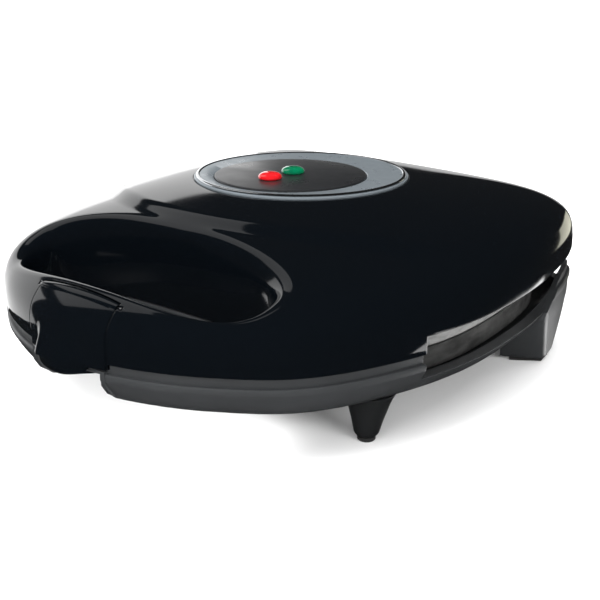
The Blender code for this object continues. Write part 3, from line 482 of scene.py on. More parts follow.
def housing_metal(name, painted_light_level):
    look = Look(name, (0.16, 0.16, 0.155), 0.5, 0.3)
    look.soft_edges(0.4)
    # The level scales the colour as painted light: raised for the upper housing as if lit from above,
    # lowered as painted shade for the lower one.
    dark = tuple(painted_light_level * c for c in (0.07, 0.07, 0.069))
    light = tuple(painted_light_level * c for c in (0.2, 0.2, 0.195))
    look.vary_colour(look.noise(60, 6, (1, 1, 3)), dark, light)
    look.vary_roughness(look.noise(220, 5), 0.38, 0.62)
    look.bump(look.noise(900, 4), 0.08, 0.6)
    return look.material


def coated_plate():
    look = Look("coated_plate", (0.028, 0.028, 0.03), 0.42, 0.35)
    look.soft_edges(0.5)
    look.vary_colour(look.noise(1800, 3), (0.02, 0.02, 0.021), (0.05, 0.05, 0.052), 0.45, 0.75)
    look.vary_roughness(look.noise(30, 4), 0.36, 0.5)
    look.bump(look.noise(1200, 3), 0.03, 0.5)
    return look.material


def bright_steel():
    look = Look("bright_steel", (0.58, 0.58, 0.59), 0.26, 1.0)
    look.vary_roughness(look.noise(300, 4, (1, 6, 1)), 0.2, 0.36)
    look.bump(look.noise(500, 3, (1, 8, 1)), 0.01, 0.4)
    return look.material


def heat_shield():
    look = Look("heat_shield_sheet", (0.5, 0.5, 0.5), 0.4, 1.0)
    look.vary_colour(look.noise(25, 4), (0.42, 0.41, 0.39), (0.58, 0.58, 0.58))
    look.vary_roughness(look.noise(90, 4), 0.32, 0.5)
    return look.material


def heater_sheath():
    look = Look("heater_sheath", (0.3, 0.28, 0.26), 0.5, 0.9)
    look.vary_colour(look.noise(70, 5), (0.2, 0.17, 0.15), (0.4, 0.38, 0.36))
    return look.material


def silver_trim():
    look = Look("satin_silver_trim", (0.14, 0.16, 0.175), 0.3, 0.3)
    look.soft_edges(0.3)
    look.vary_roughness(look.noise(160, 4), 0.26, 0.36)
    look.bump(look.noise(1600, 2), 0.004, 0.25)
    return look.material


def bright_rim():
    look = Look("polished_rim", (0.6, 0.62, 0.64), 0.14, 1.0)
    look.vary_roughness(look.noise(120, 4), 0.1, 0.2)
    return look.material


def satin_disc():
    look = Look("satin_disc", (0.012, 0.0125, 0.0135), 0.3)
    look.soft_edges(0.35)
    look.vary_roughness(look.noise(50, 4), 0.26, 0.36)
    look.bump(look.noise(1500, 2), 0.004, 0.25)
    return look.material


def lens_plastic(name, colour, deep):
    look = Look(name, colour, 0.07)
    look.vary_colour(look.noise(90, 3), deep, colour)
    look.set("Transmission Weight", 0.25)
    look.set("IOR", 1.7)
    look.set("Coat Weight", 1.0)
    look.set("Coat Roughness", 0.03)
    return look.material


def rubber():
    look = Look("black_rubber", (0.014, 0.014, 0.014), 0.75)
    look.vary_roughness(look.noise(60, 5), 0.65, 0.85)
    look.bump(look.noise(700, 3), 0.04, 0.6)
    return look.material


def pale_solid(name, colour, roughness):
    look = Look(name, colour, roughness)
    darker = tuple(c * 0.82 for c in colour)
    look.vary_colour(look.noise(80, 4), darker, colour)
    look.bump(look.noise(600, 3), 0.03, 0.5)
    return look.material


def lamp_glass():
    look = Look("lamp_glass", (0.85, 0.5, 0.32), 0.08)
    look.set("Transmission Weight", 0.5)
    look.vary_roughness(look.noise(200, 3), 0.05, 0.12)
    return look.material


def circuit_board():
    look = Look("circuit_board", (0.02, 0.09, 0.04), 0.45)
    look.vary_colour(look.noise(220, 5), (0.015, 0.06, 0.03), (0.03, 0.12, 0.05))
    return look.material


GLOSS = gloss_black()
SATIN = satin_black("satin_black_plastic", 1.0)
# The feet's copy of the satin is painted darker, as painted shade under the base.
FOOT_SATIN_PAINTED_SHADE = satin_black("foot_plastic_painted_shade", 0.35)
# Lit and shaded copies of one housing metal: painted light makes the upper housing lighter, and painted
# shade makes the lower housing darker.
METAL_PAINTED_LIGHT = housing_metal("housing_metal", 2.2)
METAL_PAINTED_SHADE = housing_metal("lower_housing_metal_painted_shade", 0.5)
COATED = coated_plate()
STEEL = bright_steel()
SHIELD = heat_shield()
SHEATH = heater_sheath()
SILVER = silver_trim()
RIM = bright_rim()
DISC = satin_disc()
RED = lens_plastic("red_lens_plastic", (0.75, 0.012, 0.016), (0.45, 0.004, 0.008))
GREEN = lens_plastic("green_lens_plastic", (0.0, 0.22, 0.085), (0.0, 0.1, 0.045))
RUBBER = rubber()
SLEEVE = pale_solid("woven_sleeve", (0.72, 0.7, 0.64), 0.7)
CERAMIC = pale_solid("ceramic", (0.78, 0.76, 0.7), 0.4)
GLASS = lamp_glass()
BOARD = circuit_board()


# Skins: the fine surfaces of the lid and the base, on the same plan as the frame's.

FRONT_STEPS = 110
REAR_STEPS = 150
CHORD_STEPS = 100
RIM_ROWS = 9
FRONT_ROWS = 22
REAR_ROWS = 34


def front_and_rear(inset):
    """The inset outline as two open paths that meet on the chord: left to right round the front, and
    right to left round the rear."""
    whole = inset_outline(inset)
    right = int(np.argmax(OUTLINE[:, 1] > CHORD_Y))
    left = len(whole) - right
    front = np.concatenate([whole[left:], whole[: right + 1]])
    rear = whole[right : left + 1]
    front = along_path(front, np.linspace(0, 1, FRONT_STEPS + 1))
    return front, along_path(rear, np.linspace(0, 1, REAR_STEPS + 1))


def chord(front):
    """Points inside the chord, from its right end to its left end, closest together near the ends."""
    shares = (1 - np.cos(np.pi * np.arange(1, CHORD_STEPS) / CHORD_STEPS)) / 2
    return front[-1] + shares[:, None] * (front[0] - front[-1])


def dome_shares(count, roundness, width):
    """Shares from 0 to 1 that fall evenly along the dome's curve."""
    fine = 1 - np.linspace(1, 0, 4000) ** 4
    height = (DOME_TOP - EDGE_TOP) * (1 - fine**DOME_POWER) ** (1 / roundness)
    lengths = np.cumsum(np.hypot(np.diff(fine) * width, np.diff(height)))
    return np.interp(np.linspace(0, lengths[-1], count), np.concatenate([[0], lengths]), fine)


def blend_rows(inner, outer, shares):
    return [inner + (outer - inner) * np.reshape(share, (-1, 1)) for share in shares]


def plan_grid(inset, outset):
    """Two patches of flat rows that share the chord: from the finger opening out to the front outline, and
    from the round plateau out to the rear outline."""
    true_front, _ = front_and_rear(0)
    true_edge = np.concatenate([true_front, chord(true_front)])
    width = np.linalg.norm(true_edge - opening_loop(true_edge, 0), axis=1)
    rounding = rim_rounding(np.arctan2(true_edge[:, 1] - OPENING_Y, true_edge[:, 0]))
    angles = np.linspace(0, math.pi / 2, RIM_ROWS)[:-1]
    shares = [rounding * (1 - math.cos(angle)) / width for angle in angles]
    start = rounding / width
    shares += [start + (1 - start) * share for share in dome_shares(FRONT_ROWS, FRONT_ROUNDNESS, 36)]
    front, rear = front_and_rear(inset)
    middle = chord(front)
    front_edge = np.concatenate([front, middle])
    rear_edge = np.concatenate([rear, middle[::-1]])
    offset = rear_edge - (0, RING_Y)
    direction = offset / np.linalg.norm(offset, axis=1)[:, None]
    plateau = direction * (RING_RADIUS + RING_GAP) + (0, RING_Y)
    front_rows = blend_rows(opening_loop(front_edge, outset), front_edge, shares)
    rear_rows = blend_rows(plateau, rear_edge, dome_shares(REAR_ROWS, REAR_ROUNDNESS - 0.4, 75))
    return front_rows, rear_rows


def skin(shape, inset, outset, height, lift):
    """One surface of a shell. Returns its opening row, its outline row and its innermost row."""
    flat = plan_grid(inset, outset)
    true = plan_grid(0, 0)
    raised = []
    for rows, true_rows in zip(flat, true):
        heights = [height(row[:, 0], row[:, 1]) + lift for row in true_rows]
        raised.append([np.column_stack([row, z]) for row, z in zip(rows, heights)])
    front = [shape.row(row) for row in raised[0]]
    rear = [shape.row(row) for row in raised[1][:-1]]
    last = shape.row(raised[1][-1][1:REAR_STEPS])
    shared_chord = front[-1][FRONT_STEPS + 1 :]
    rear_edge = [front[-1][FRONT_STEPS]] + last + [front[-1][0]] + shared_chord[::-1]
    for a, b in zip(front, front[1:]):
        shape.bridge(a, b)
    for a, b in zip(rear, rear[1:] + [rear_edge]):
        shape.bridge(a, b)
    edge = front[-1][: FRONT_STEPS + 1] + last
    return front[0], edge, rear[0]


def edge_row(shape, inset, z):
    front, rear = front_and_rear(inset)
    return shape.row(np.concatenate([front, rear[1:-1]]), z)


def hole_row(shape, outset, z):
    front, _ = front_and_rear(0)
    towards = np.concatenate([front, chord(front)])
    return shape.row(opening_loop(towards, outset), z)


def stack(shape, rows):
    for a, b in zip(rows, rows[1:]):
        shape.bridge(a, b)


# Cutters


def box_cutter(low, high):
    shape = Shape()
    shape.box(low, high)
    return shape.obj("cutter")


def rods(places, radius, low, high, axis="z", steps=32):
    """Round bars along an axis, through the places given."""
    shape = Shape()
    for place_at in places:
        shape.turned([(radius, low), (radius, high)], place_at, steps, axis)
    return shape.obj("cutter")


# The handle's section and the latch clip


def front_edge_y(x):
    near = np.abs(OUTLINE[:, 0]) < 80
    front = OUTLINE[near & (OUTLINE[:, 1] < 0)]
    order = np.argsort(front[:, 0])
    return float(np.interp(x, front[order, 0], front[order, 1]))


DOME_POINTS = 34


def handle_section(x, top_y):
    """The handle's outer surface in one plane of constant x, as rows of (y, z): over its top, down its
    front, and on below the parting line along the hook. Also gives how many points are above the tongue."""
    edge = front_edge_y(x)
    share = np.linspace(0, 1, DOME_POINTS)
    ys = top_y + (edge - top_y) * (1 - (1 - share) ** 2.2)
    zs = lid_height(np.full_like(ys, x), ys)
    path = list(zip(ys, zs))
    path += [(edge, z) for z in np.linspace(EDGE_TOP - 0.6, PARTING - 2.4, 12)]
    above = len(path)
    path.append((edge, PARTING - 2.7))
    for angle in np.linspace(math.pi, 1.5 * math.pi, 9):
        path.append((edge + HOOK_BEND + HOOK_BEND * math.cos(angle),
                     HOOK_BOTTOM + HOOK_BEND + HOOK_BEND * math.sin(angle)))
    path.append((edge + HOOK_REACH, HOOK_BOTTOM))
    return np.array(path), above


def section_normals(path):
    along = np.empty_like(path)
    along[1:-1] = path[2:] - path[:-2]
    along[0] = path[1] - path[0]
    along[-1] = path[-1] - path[-2]
    normals = np.stack([along[:, 1], -along[:, 0]], axis=1)
    return normals / np.linalg.norm(normals, axis=1)[:, None]


def lip_swell(x, z):
    """How far the clip's lower front stands out as a thumb lip: a clear end on one side, and a slow
    fade on the other."""
    across = smoothstep((x + 17) / 3.5) * smoothstep((19 - x) / 19)
    return LIP_REACH * across * smoothstep((54 - z) / 17) ** 1.5 * smoothstep((z - HOOK_BOTTOM) / 2)


def clip_plate(half_width, outer, inner, tongue, top_y, columns=60):
    """The clip as a bent plate between two offsets from the handle's surface. Below the parting line only
    its middle goes on, as the tongue that carries the thumb lip and the hook."""
    shape = Shape()
    outer_rows = []
    inner_rows = []
    for across in np.linspace(-1, 1, columns + 1):
        path, above = handle_section(half_width * across, top_y)
        normals = section_normals(path)
        x = across * np.where(np.arange(len(path)) < above, half_width, tongue)
        swell = lip_swell(x, path[:, 1]) if outer == 0 else np.zeros(len(path))
        outside = path + normals * (outer + swell)[:, None]
        outer_rows.append(shape.row(np.column_stack([x, outside])))
        inner_rows.append(shape.row(np.column_stack([x, path - normals * inner])))
    for rows in (outer_rows, inner_rows):
        for a, b in zip(rows, rows[1:]):
            shape.bridge(a, b, closed=False)
    for k in (0, -1):
        shape.bridge([row[k] for row in outer_rows], [row[k] for row in inner_rows], closed=False)
    for k in (0, -1):
        shape.bridge(outer_rows[k], inner_rows[k], closed=False)
    return shape.obj("clip_plate")


def clip_barrel(half_width, grow, columns=48):
    """The clip's rolled end: a barrel round its pin that swells to meet the handle's surface."""
    xs = np.linspace(-half_width, half_width, columns + 1)
    radii = lid_height(xs, np.full_like(xs, LATCH_AXIS_Y)) - LATCH_AXIS_Z + grow
    shape = Shape()
    shape.turned(list(zip(radii, xs)), (0, LATCH_AXIS_Y, LATCH_AXIS_Z), 72, "x")
    return shape.obj("clip_barrel")


def clip_recess():
    return clip_plate(CLIP_HALF_WIDTH + CLIP_CLEARANCE, 4.0, CLIP_THICKNESS + CLIP_CLEARANCE,
                      TONGUE_HALF_WIDTH + CLIP_CLEARANCE, LATCH_AXIS_Y + CLIP_CLEARANCE, 24)


def make_clip():
    clip = clip_plate(CLIP_HALF_WIDTH, np.float64(0), CLIP_THICKNESS, TONGUE_HALF_WIDTH, LATCH_AXIS_Y)
    cut(clip, clip_barrel(CLIP_HALF_WIDTH, -0.05), "UNION")
    pin_radius = (node_box("latch_pin")[1].z - node_box("latch_pin")[0].z) / 2
    cut(clip, rods([(0, LATCH_AXIS_Y, LATCH_AXIS_Z)], pin_radius + GAP, -30, 30, "x"))
    clip.name = "latch_clip_shell"
    shade(clip, 40)
    place(clip, "latch", GLOSS, "black_gloss", "latch_clip")


# The lid


def latch_core(shape):
    """The solid middle of the handle, which carries the latch's pin."""
    low = node_box("lid_handle_cover")[0].z + 3
    rows = []
    for x in np.linspace(-LATCH_CORE_HALF_WIDTH, LATCH_CORE_HALF_WIDTH, 29):
        path, _ = handle_section(x, LATCH_AXIS_Y)
        path = path[: DOME_POINTS - 1]
        section = path - section_normals(path) * 1.2
        section = [tuple(p) for p in section]
        section += [(section[-1][0], low), (CORE_REAR_Y, low), (CORE_REAR_Y, section[0][1] - 1)]
        rows.append(shape.row([(x, y, z) for y, z in section]))
    shape.loft(rows)


def make_lid():
    shape = Shape()
    hole, edge, inner = skin(shape, 0, 0, lid_height, 0)
    recess = [shape.row([v.co for v in inner], RECESS_Z)]
    recess.append(shape.row([v.co for v in inner], RECESS_Z - WALL))
    hole_under, edge_under, inner_under = skin(shape, WALL, WALL, lid_height, -WALL - 0.4)
    shape.bridge(inner, recess[0])
    shape.bm.faces.new(recess[0])
    shape.bridge(inner_under, recess[1])
    shape.bm.faces.new(recess[1])
    edges = [edge_row(shape, inset, PARTING + z) for inset, z in ((0, 0.7), (0.2, 0.2), (0.7, 0))]
    edges.append(edge_row(shape, WALL, PARTING))
    holes = [hole_row(shape, outset, PARTING + z) for outset, z in ((0, 0.7), (0.2, 0.2), (0.7, 0))]
    holes.append(hole_row(shape, WALL, PARTING))
    stack(shape, [edge, *edges, edge_under])
    stack(shape, [hole, *holes, hole_under])
    lid = shape.obj("lid_dome")
    cut(lid, box_cutter((-140, GAP_FRONT_Y, PARTING - 5), (140, 150, GAP_HIGH)))
    fittings = Shape()
    for side in (-1, 1):
        low, high = (side * x for x in KNUCKLE_X)
        section = [(HINGE_Y + KNUCKLE_RADIUS * math.cos(a), HINGE_Z + KNUCKLE_RADIUS * math.sin(a))
                   for a in np.linspace(-math.pi, 0, 13)]
        section += [(HINGE_Y + 5, GAP_HIGH + 6), (HINGE_Y - 1, GAP_HIGH + 8)]
        fittings.loft([fittings.row([(x, y, z) for y, z in section]) for x in (low, high)])
    latch_core(fittings)
    cut(lid, fittings.obj("cutter"), "UNION")
    cut(lid, clip_recess())
    cut(lid, clip_barrel(CLIP_HALF_WIDTH + CLIP_CLEARANCE, 0.4))
    pin_radius = (node_box("latch_pin")[1].z - node_box("latch_pin")[0].z) / 2
    hole_half = LATCH_PIN_CLEARANCE_X
    cut(lid, rods([(0, LATCH_AXIS_Y, LATCH_AXIS_Z)], pin_radius + GAP, -hole_half, hole_half, "x"))
    cut(lid, rods([(0, HINGE_Y, HINGE_Z)], HINGE_PIN_RADIUS + GAP, -100, 100, "x"))
    lamp_places = [(x, y, 0) for x, y in LAMP_PLACES.values()]
    cut(lid, rods(lamp_places, LENS_RADIUS - 1.5, 80, 92))
    shade(lid, 34)
    place(lid, "lid", GLOSS, "black_gloss", "lid_shell")


# The base


def make_base():
    shape = Shape()
    hole, edge, inner = skin(shape, 0, 0, base_height, 0)
    shape.bm.faces.new(inner)
    edges = [edge_row(shape, inset, z) for inset, z in (
        (0, BASE_LIP - 0.7), (0.2, BASE_LIP - 0.2), (0.7, BASE_LIP), (1.6, BASE_LIP), (1.6, BASE_RIM),
        (1.6 + WALL, BASE_RIM))]
    holes = [hole_row(shape, outset, z) for outset, z in (
        (0, BASE_RIM - 0.7), (0.2, BASE_RIM - 0.2), (0.7, BASE_RIM), (WALL, BASE_RIM))]
    hole_up, edge_up, inner_up = skin(shape, 1.6 + WALL, WALL, base_height, FLOOR_THICKNESS)
    shape.bm.faces.new(inner_up)
    stack(shape, [edge, *edges, edge_up])
    stack(shape, [hole, *holes, hole_up])
    base = shape.obj("base_pan")
    top = PARTING + 5
    gap = Shape()
    profile = [(GAP_FRONT_Y, top), (GAP_FRONT_Y, GAP_LOW), (66, GAP_LOW), (71, GAP_LOW + 0.7),
               (76, GAP_LOW + 2.4), (82, GAP_LOW + 6), (90, GAP_LOW + 9), (100, GAP_LOW + 11.5), (100, top)]
    gap.loft([gap.row([(x, y, z) for y, z in profile]) for x in (-140, 140)])
    gap.box((-97, 118, GAP_LOW), (97, 150, top))
    cut(base, gap.obj("cutter"))
    for fitting in base_fittings():
        cut(base, fitting, "UNION")
    cut(base, clip_recess())
    cut(base, box_cutter((-NOTCH_HALF_WIDTH, -145, 15), (NOTCH_HALF_WIDTH, NOTCH_REAR_Y, NOTCH_TOP)))
    cut(base, rods([(0, HINGE_Y, HINGE_Z)], HINGE_PIN_RADIUS + GAP, -100, 100, "x"))
    floor_hole = Shape()
    loop = superellipse(COVER_HALF_WIDTH, COVER_HALF_DEPTH)
    floor_hole.loft([floor_hole.row(loop, BASE_BOTTOM - 4), floor_hole.row(loop, BASE_BOTTOM + 6)])
    cut(base, floor_hole.obj("cutter"))
    gland = node_middle("cable_gland")
    cut(base, rods([(gland.x, gland.y, 0)], GLAND_RADIUS, 18, 30))
    cut(base, rods(screw_places("cover_screw", "base_handle_screw"), SCREW_RADIUS + GAP, 18, 30))
    shade(base, 34)
    place(base, "base", SATIN, "black_satin", "base_shell")


def screw_places(*starts):
    places = []
    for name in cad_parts:
        if name.startswith(starts):
            middle = node_middle(name)
            places.append((middle.x, middle.y, 0))
    return places


def leg_side_x(y):
    """The outline's half width behind its widest place."""
    right = OUTLINE[(OUTLINE[:, 0] > 60) & (OUTLINE[:, 1] > 40)]
    right = right[np.argsort(right[:, 1])]
    return np.interp(y, right[:, 1], right[:, 0])


def rear_leg(side):
    """A tapered leg that carries on from the base's side wall. Its front face runs inwards and forwards."""
    shape = Shape()
    heights = np.concatenate([[2.3, 2.6, 3.2], np.linspace(4, 23, 14), [26, 29.5, 32, 34.5]])
    rows = []
    for z in heights:
        keys = [np.interp(z, LEG_SECTIONS[:, 0], LEG_SECTIONS[:, k]) for k in range(1, 7)]
        front, rear, lean, front_depth, rear_depth, forward = keys
        lean = lean + 0.4 + 0.9 * max(0, (3.2 - z) / 0.9) ** 2
        edge = min(3.4, front_depth / 3)
        ys = np.linspace(front + edge, rear, 14)
        points = [(leg_side_x(y) - lean, y) for y in ys]
        side_x = leg_side_x(front) - lean
        points.append((points[-1][0] - rear_depth, rear))
        inner = np.array((side_x - front_depth, front - forward))
        corner = np.array((side_x - edge, front - forward * edge / front_depth))
        for share in (0, 0.02, 0.5, 1):
            points.append(tuple(inner + (corner - inner) * share))
        start = np.array(points[0])
        control = np.array((side_x - edge * 0.12, front))
        for t in (0.25, 0.5, 0.75):
            bent = (1 - t) ** 2 * corner + 2 * t * (1 - t) * control + t * t * start
            points.append(tuple(bent))
        rows.append(shape.row([(side * x, y) for x, y in points], z))
    shape.loft(rows)
    return shape.obj("cutter")


def base_fittings():
    """What is moulded with the base: the core behind the catch, the rear legs and the posts that carry the
    hinge pins."""
    core = Shape()
    section = [
        (-127.2, 31.6), (-124.5, 27.2), (-121, 24.6), (-113.6, 24.6), (-113.6, BASE_RIM - 0.2),
        (-123.9, BASE_RIM - 0.2), (-123.9, PARTING - 3.3), (-127.2, PARTING - 3.3),
    ]
    core.loft([core.row([(x, y, z) for y, z in section]) for x in (-CORE_HALF_WIDTH, CORE_HALF_WIDTH)])
    fittings = [core.obj("cutter")]
    posts = Shape()
    round_top = [(HINGE_Y + 4.4 * math.cos(a), HINGE_Z - 0.2 + 4.2 * math.sin(a))
                 for a in np.linspace(-0.45, math.pi + 0.1, 16)]
    section = [(HINGE_Y - 6, BASE_BOTTOM + 1), (HINGE_Y + 2, BASE_BOTTOM + 1.5), (HINGE_Y + 2, HINGE_Z - 6)]
    section += round_top
    for side in (-1, 1):
        fittings.append(rear_leg(side))
        for near in (KNUCKLE_X[0] - GAP - POST_WIDTH, KNUCKLE_X[1] + GAP):
            faces = (side * near, side * (near + POST_WIDTH))
            posts.loft([posts.row([(x, y, z) for y, z in section]) for x in faces])
    fittings.append(posts.obj("cutter"))
    return fittings


# Trim, lamps, plates, feet and fasteners


def make_trim():
    """The off-centre ring round the disc, its polished lip, the disc and the two lenses."""
    floor = RECESS_Z + GAP
    steps = 160
    ring = Shape()
    foot = RING_RADIUS + RING_FOOT
    outer = [(foot, floor), (foot, CROWN - 0.5), (foot - 0.3, CROWN - 0.2), (RING_RADIUS - 0.2, CROWN),
             (RING_RADIUS - 1.0, CROWN + 0.5), (RING_RADIUS - 2.4, CROWN + 0.45)]
    inner = [(DISC_RADIUS + GAP + 0.5, CROWN + 0.3), (DISC_RADIUS + GAP, CROWN), (DISC_RADIUS + GAP, floor)]
    rows = turned_rows(ring, outer, RING_Y, steps) + turned_rows(ring, inner, DISC_Y, steps)
    ring.loft(rows, ring=True)
    piece = ring.obj("trim_ring_face")
    shade(piece, 30)
    place(piece, "lid", SILVER, "silver_trim", "trim_ring")
    lip = Shape()
    middle = RING_RADIUS - 0.7
    profile = [(middle + 1.0 * math.cos(a), CROWN + 0.15 + 0.75 * math.sin(a))
               for a in np.linspace(0, 2 * math.pi, 17)[:-1]]
    lip.turned(profile, (0, RING_Y, 0), steps, ring=True)
    piece = lip.obj("trim_ring_lip")
    shade(piece, 60)
    place(piece, "lid", RIM, "silver_trim", "trim_ring")
    low, high = node_box("badge_disc")
    disc = Shape()
    profile = [(DISC_RADIUS, low.z), (DISC_RADIUS, high.z - 0.7), (DISC_RADIUS - 0.15, high.z - 0.3),
               (DISC_RADIUS - 0.45, high.z - 0.06), (DISC_RADIUS - 0.9, high.z)]
    disc.turned(profile, (0, DISC_Y, 0), steps)
    piece = disc.obj("badge_disc_face")
    holes = [(x, y, 0) for x, y in LAMP_PLACES.values()]
    cut(piece, rods(holes, LENS_RADIUS - 0.9, low.z - 1, high.z + 1))
    shade(piece, 24)
    place(piece, "lid", DISC, "black_satin", "badge_disc")
    for name, look in (("red", RED), ("green", GREEN)):
        make_lens(name, look, high.z + GAP)


def turned_rows(shape, profile, centre_y, steps):
    angles = 2 * math.pi * np.arange(steps) / steps
    unit = np.stack([np.cos(angles), np.sin(angles)], axis=1)
    return [shape.row(radius * unit + (0, centre_y), z) for radius, z in profile]


def make_lens(name, look, top):
    node = name + "_lens"
    low, high = node_box(node)
    shape = Shape()
    rise = high.z - top
    stem = LENS_RADIUS - 1.9
    profile = [(stem, low.z), (stem, top), (LENS_RADIUS - 0.2, top), (LENS_RADIUS, top + 0.2)]
    for a in np.linspace(0.12, math.pi / 2, 16)[:-1]:
        profile.append((LENS_RADIUS * math.cos(a) ** 0.72, top + 0.5 + (rise - 0.5) * math.sin(a)))
    profile.append((0.15, high.z))
    shape.turned(profile, (*LAMP_PLACES[name], 0), 64)
    piece = shape.obj(node + "_dome")
    shade(piece, 50)
    place(piece, "lid", look, node, node)


def make_plate(node, body, faces_up):
    """A cast plate with seven half-round ring cavities, each with a rounded edge and a centre post."""
    low, high = node_box(node)
    sign = 1 if faces_up else -1
    face, back = (high.z, low.z) if faces_up else (low.z, high.z)
    inset = BAY_INSET + FRAME_WALL + GAP
    depth = BAY_HALF_DEPTH - FRAME_WALL - GAP
    shape = Shape()
    levels = ((0.9, 0), (0.3, 0.25), (0, 0.8))
    rows = [shape.row(bay_loop(inset + grow, depth - grow), face - sign * drop) for grow, drop in levels]
    rows.append(shape.row(bay_loop(inset, depth), back))
    shape.loft(rows)
    plate = shape.obj(node + "_cast")
    middle = (CAVITY_RADIUS + CAVITY_POST) / 2
    half = (CAVITY_RADIUS - CAVITY_POST) / 2
    profile = [(CAVITY_RADIUS + 0.7, face + sign), (CAVITY_RADIUS + 0.7, face),
               (CAVITY_RADIUS + 0.2, face - sign * 0.2), (CAVITY_RADIUS - 0.05, face - sign * 0.8)]
    for angle in np.linspace(0, math.pi, 22)[1:-1]:
        profile.append((middle + half * math.cos(angle), face - sign * CAVITY_DEPTH * math.sin(angle)))
    profile += [(CAVITY_POST + 0.05, face - sign * 0.8), (CAVITY_POST - 0.2, face - sign * 0.2),
                (CAVITY_POST - 0.7, face), (CAVITY_POST - 0.7, face + sign)]
    rings = Shape()
    for x, y in CAVITY_CENTRES:
        rings.turned(profile, (x, y, 0), 72, ring=True)
    cut(plate, rings.obj("cutter"))
    shade(plate, 40)
    place(plate, body, COATED, "coated_plate", node)


def make_frame(node, body, look):
    """The folded housing round a plate, with rounded edges."""
    low, high = node_box(node)
    shape = Shape()
    rows = []
    corners = ((0, low.z + 0.4), (0, high.z - 0.5), (0.15, high.z - 0.15), (0.5, high.z),
               (FRAME_WALL - 0.3, high.z), (FRAME_WALL, high.z - 0.3), (FRAME_WALL, low.z), (0.4, low.z))
    for grow, z in corners:
        rows.append(shape.row(bay_loop(BAY_INSET + grow, BAY_HALF_DEPTH - grow, 240), z))
    shape.loft(rows, ring=True)
    piece = shape.obj(node + "_sheet")
    shade(piece, 30)
    place(piece, body, look, "dark_metal", node)


def make_handle_cover(node, body, inset, outset):
    """The flat cover that closes a handle loop and the space in front of the plates."""
    low, high = node_box(node)
    shape = Shape()
    front, _ = front_and_rear(inset)
    edge = np.concatenate([front, chord(front)])
    hole = opening_loop(edge, outset)
    top = high.z if body == "base" else low.z + COVER_THICKNESS
    bottom = top - COVER_THICKNESS
    rows = [shape.row(loop, z) for loop, z in ((edge, bottom), (edge, top), (hole, top), (hole, bottom))]
    shape.loft(rows, ring=True)
    piece = shape.obj(node + "_sheet")
    if body == "base":
        core = CORE_HALF_WIDTH + GAP
        cut(piece, box_cutter((-core, -140, 30), (core, OPENING_Y - OPENING_FRONT + 2, 45)))
    shade(piece, 30)
    place(piece, body, SATIN, "black_satin", node)


def make_foot(side, name):
    low, high = node_box("front_foot_" + name)
    keys = ((0, 3.4, 0), (0.25, 4.3, 0), (0.8, 4.95, 0), (1.6, 5.4, 0), (8, 7.0, 0.25), (14.4, 8.9, 0.5),
            (17.6, 9.9, 0.75), (19.6, 10.8, 0.93), (high.z - low.z, 11.1, 1))
    shape = Shape()
    rows = []
    for rise, radius, shift in keys:
        angles = 2 * math.pi * np.arange(72) / 72
        ring = np.stack([side * (FOOT_X + shift) + radius * np.cos(angles),
                         FOOT_Y + 0.8 * shift + radius * np.sin(angles)], axis=1)
        rows.append(shape.row(ring, low.z + rise))
    shape.loft(rows)
    piece = shape.obj("front_foot_" + name + "_cone")
    shade(piece, 50)
    place(piece, "base", FOOT_SATIN_PAINTED_SHADE, "black_satin", "front_foot_" + name)
    pad = Shape()
    low, high = node_box("front_pad_" + name)
    pad.turned([(3.4, low.z), (3.9, low.z + 0.5), (4.0, high.z)], (side * FOOT_X, FOOT_Y, 0), 48)
    piece = pad.obj("front_pad_" + name + "_disc")
    shade(piece, 30)
    place(piece, "base", RUBBER, "rubber", "front_pad_" + name)


def make_rod(node, body, look, slot):
    """A round pin along x, with its ends eased."""
    low, high = node_box(node)
    middle = (low + high) / 2
    radius = (high.z - low.z) / 2
    shape = Shape()
    half = (high.x - low.x) / 2
    profile = [(radius - 0.4, -half), (radius, -half + 0.4), (radius, half - 0.4), (radius - 0.4, half)]
    shape.turned(profile, middle, 40, "x")
    piece = shape.obj(node + "_rod")
    shade(piece, 30)
    place(piece, body, look, slot, node)


def make_screw(node, body):
    """A pan-head screw with a cross recess, driven up from below."""
    low, high = node_box(node)
    middle = (low + high) / 2
    head = low.z + 1.6
    shape = Shape()
    profile = [(0.6, low.z), (1.5, low.z + 0.06), (2.2, low.z + 0.28), (2.7, low.z + 0.65),
               (2.95, low.z + 1.1), (3.0, head), (SCREW_RADIUS, head), (SCREW_RADIUS, high.z)]
    shape.turned(profile, (middle.x, middle.y, 0), 40)
    piece = shape.obj(node + "_pan_head")
    for half_x, half_y in ((1.7, 0.32), (0.32, 1.7)):
        cut(piece, box_cutter((middle.x - half_x, middle.y - half_y, low.z - 1),
                              (middle.x + half_x, middle.y + half_y, low.z + 0.9)))
    shade(piece, 30)
    place(piece, body, STEEL, "steel", node)


def make_bottom_cover():
    """The pan under the heater, with a flange that screws to the base's floor."""
    low, high = node_box("bottom_cover")
    flange = high.z
    shape = Shape()
    rows = []
    profile = ((-8, low.z), (-5.2, low.z + 0.2), (-4.1, low.z + 0.9), (-0.6, flange - 2.2),
               (0.2, flange - 1.6), (1.2, flange - 1.5), (8.6, flange - 1.5), (9, flange - 1.1),
               (9, flange), (-1.6, flange), (-5.6, low.z + 1.6))
    for grow, z in profile:
        rows.append(shape.row(superellipse(COVER_HALF_WIDTH + grow, COVER_HALF_DEPTH + grow, steps=240), z))
    shape.loft(rows)
    piece = shape.obj("bottom_cover_pan")
    cut(piece, rods(screw_places("cover_screw"), SCREW_RADIUS + GAP, 18, 30))
    shade(piece, 34)
    place(piece, "base", SATIN, "black_satin", "bottom_cover")


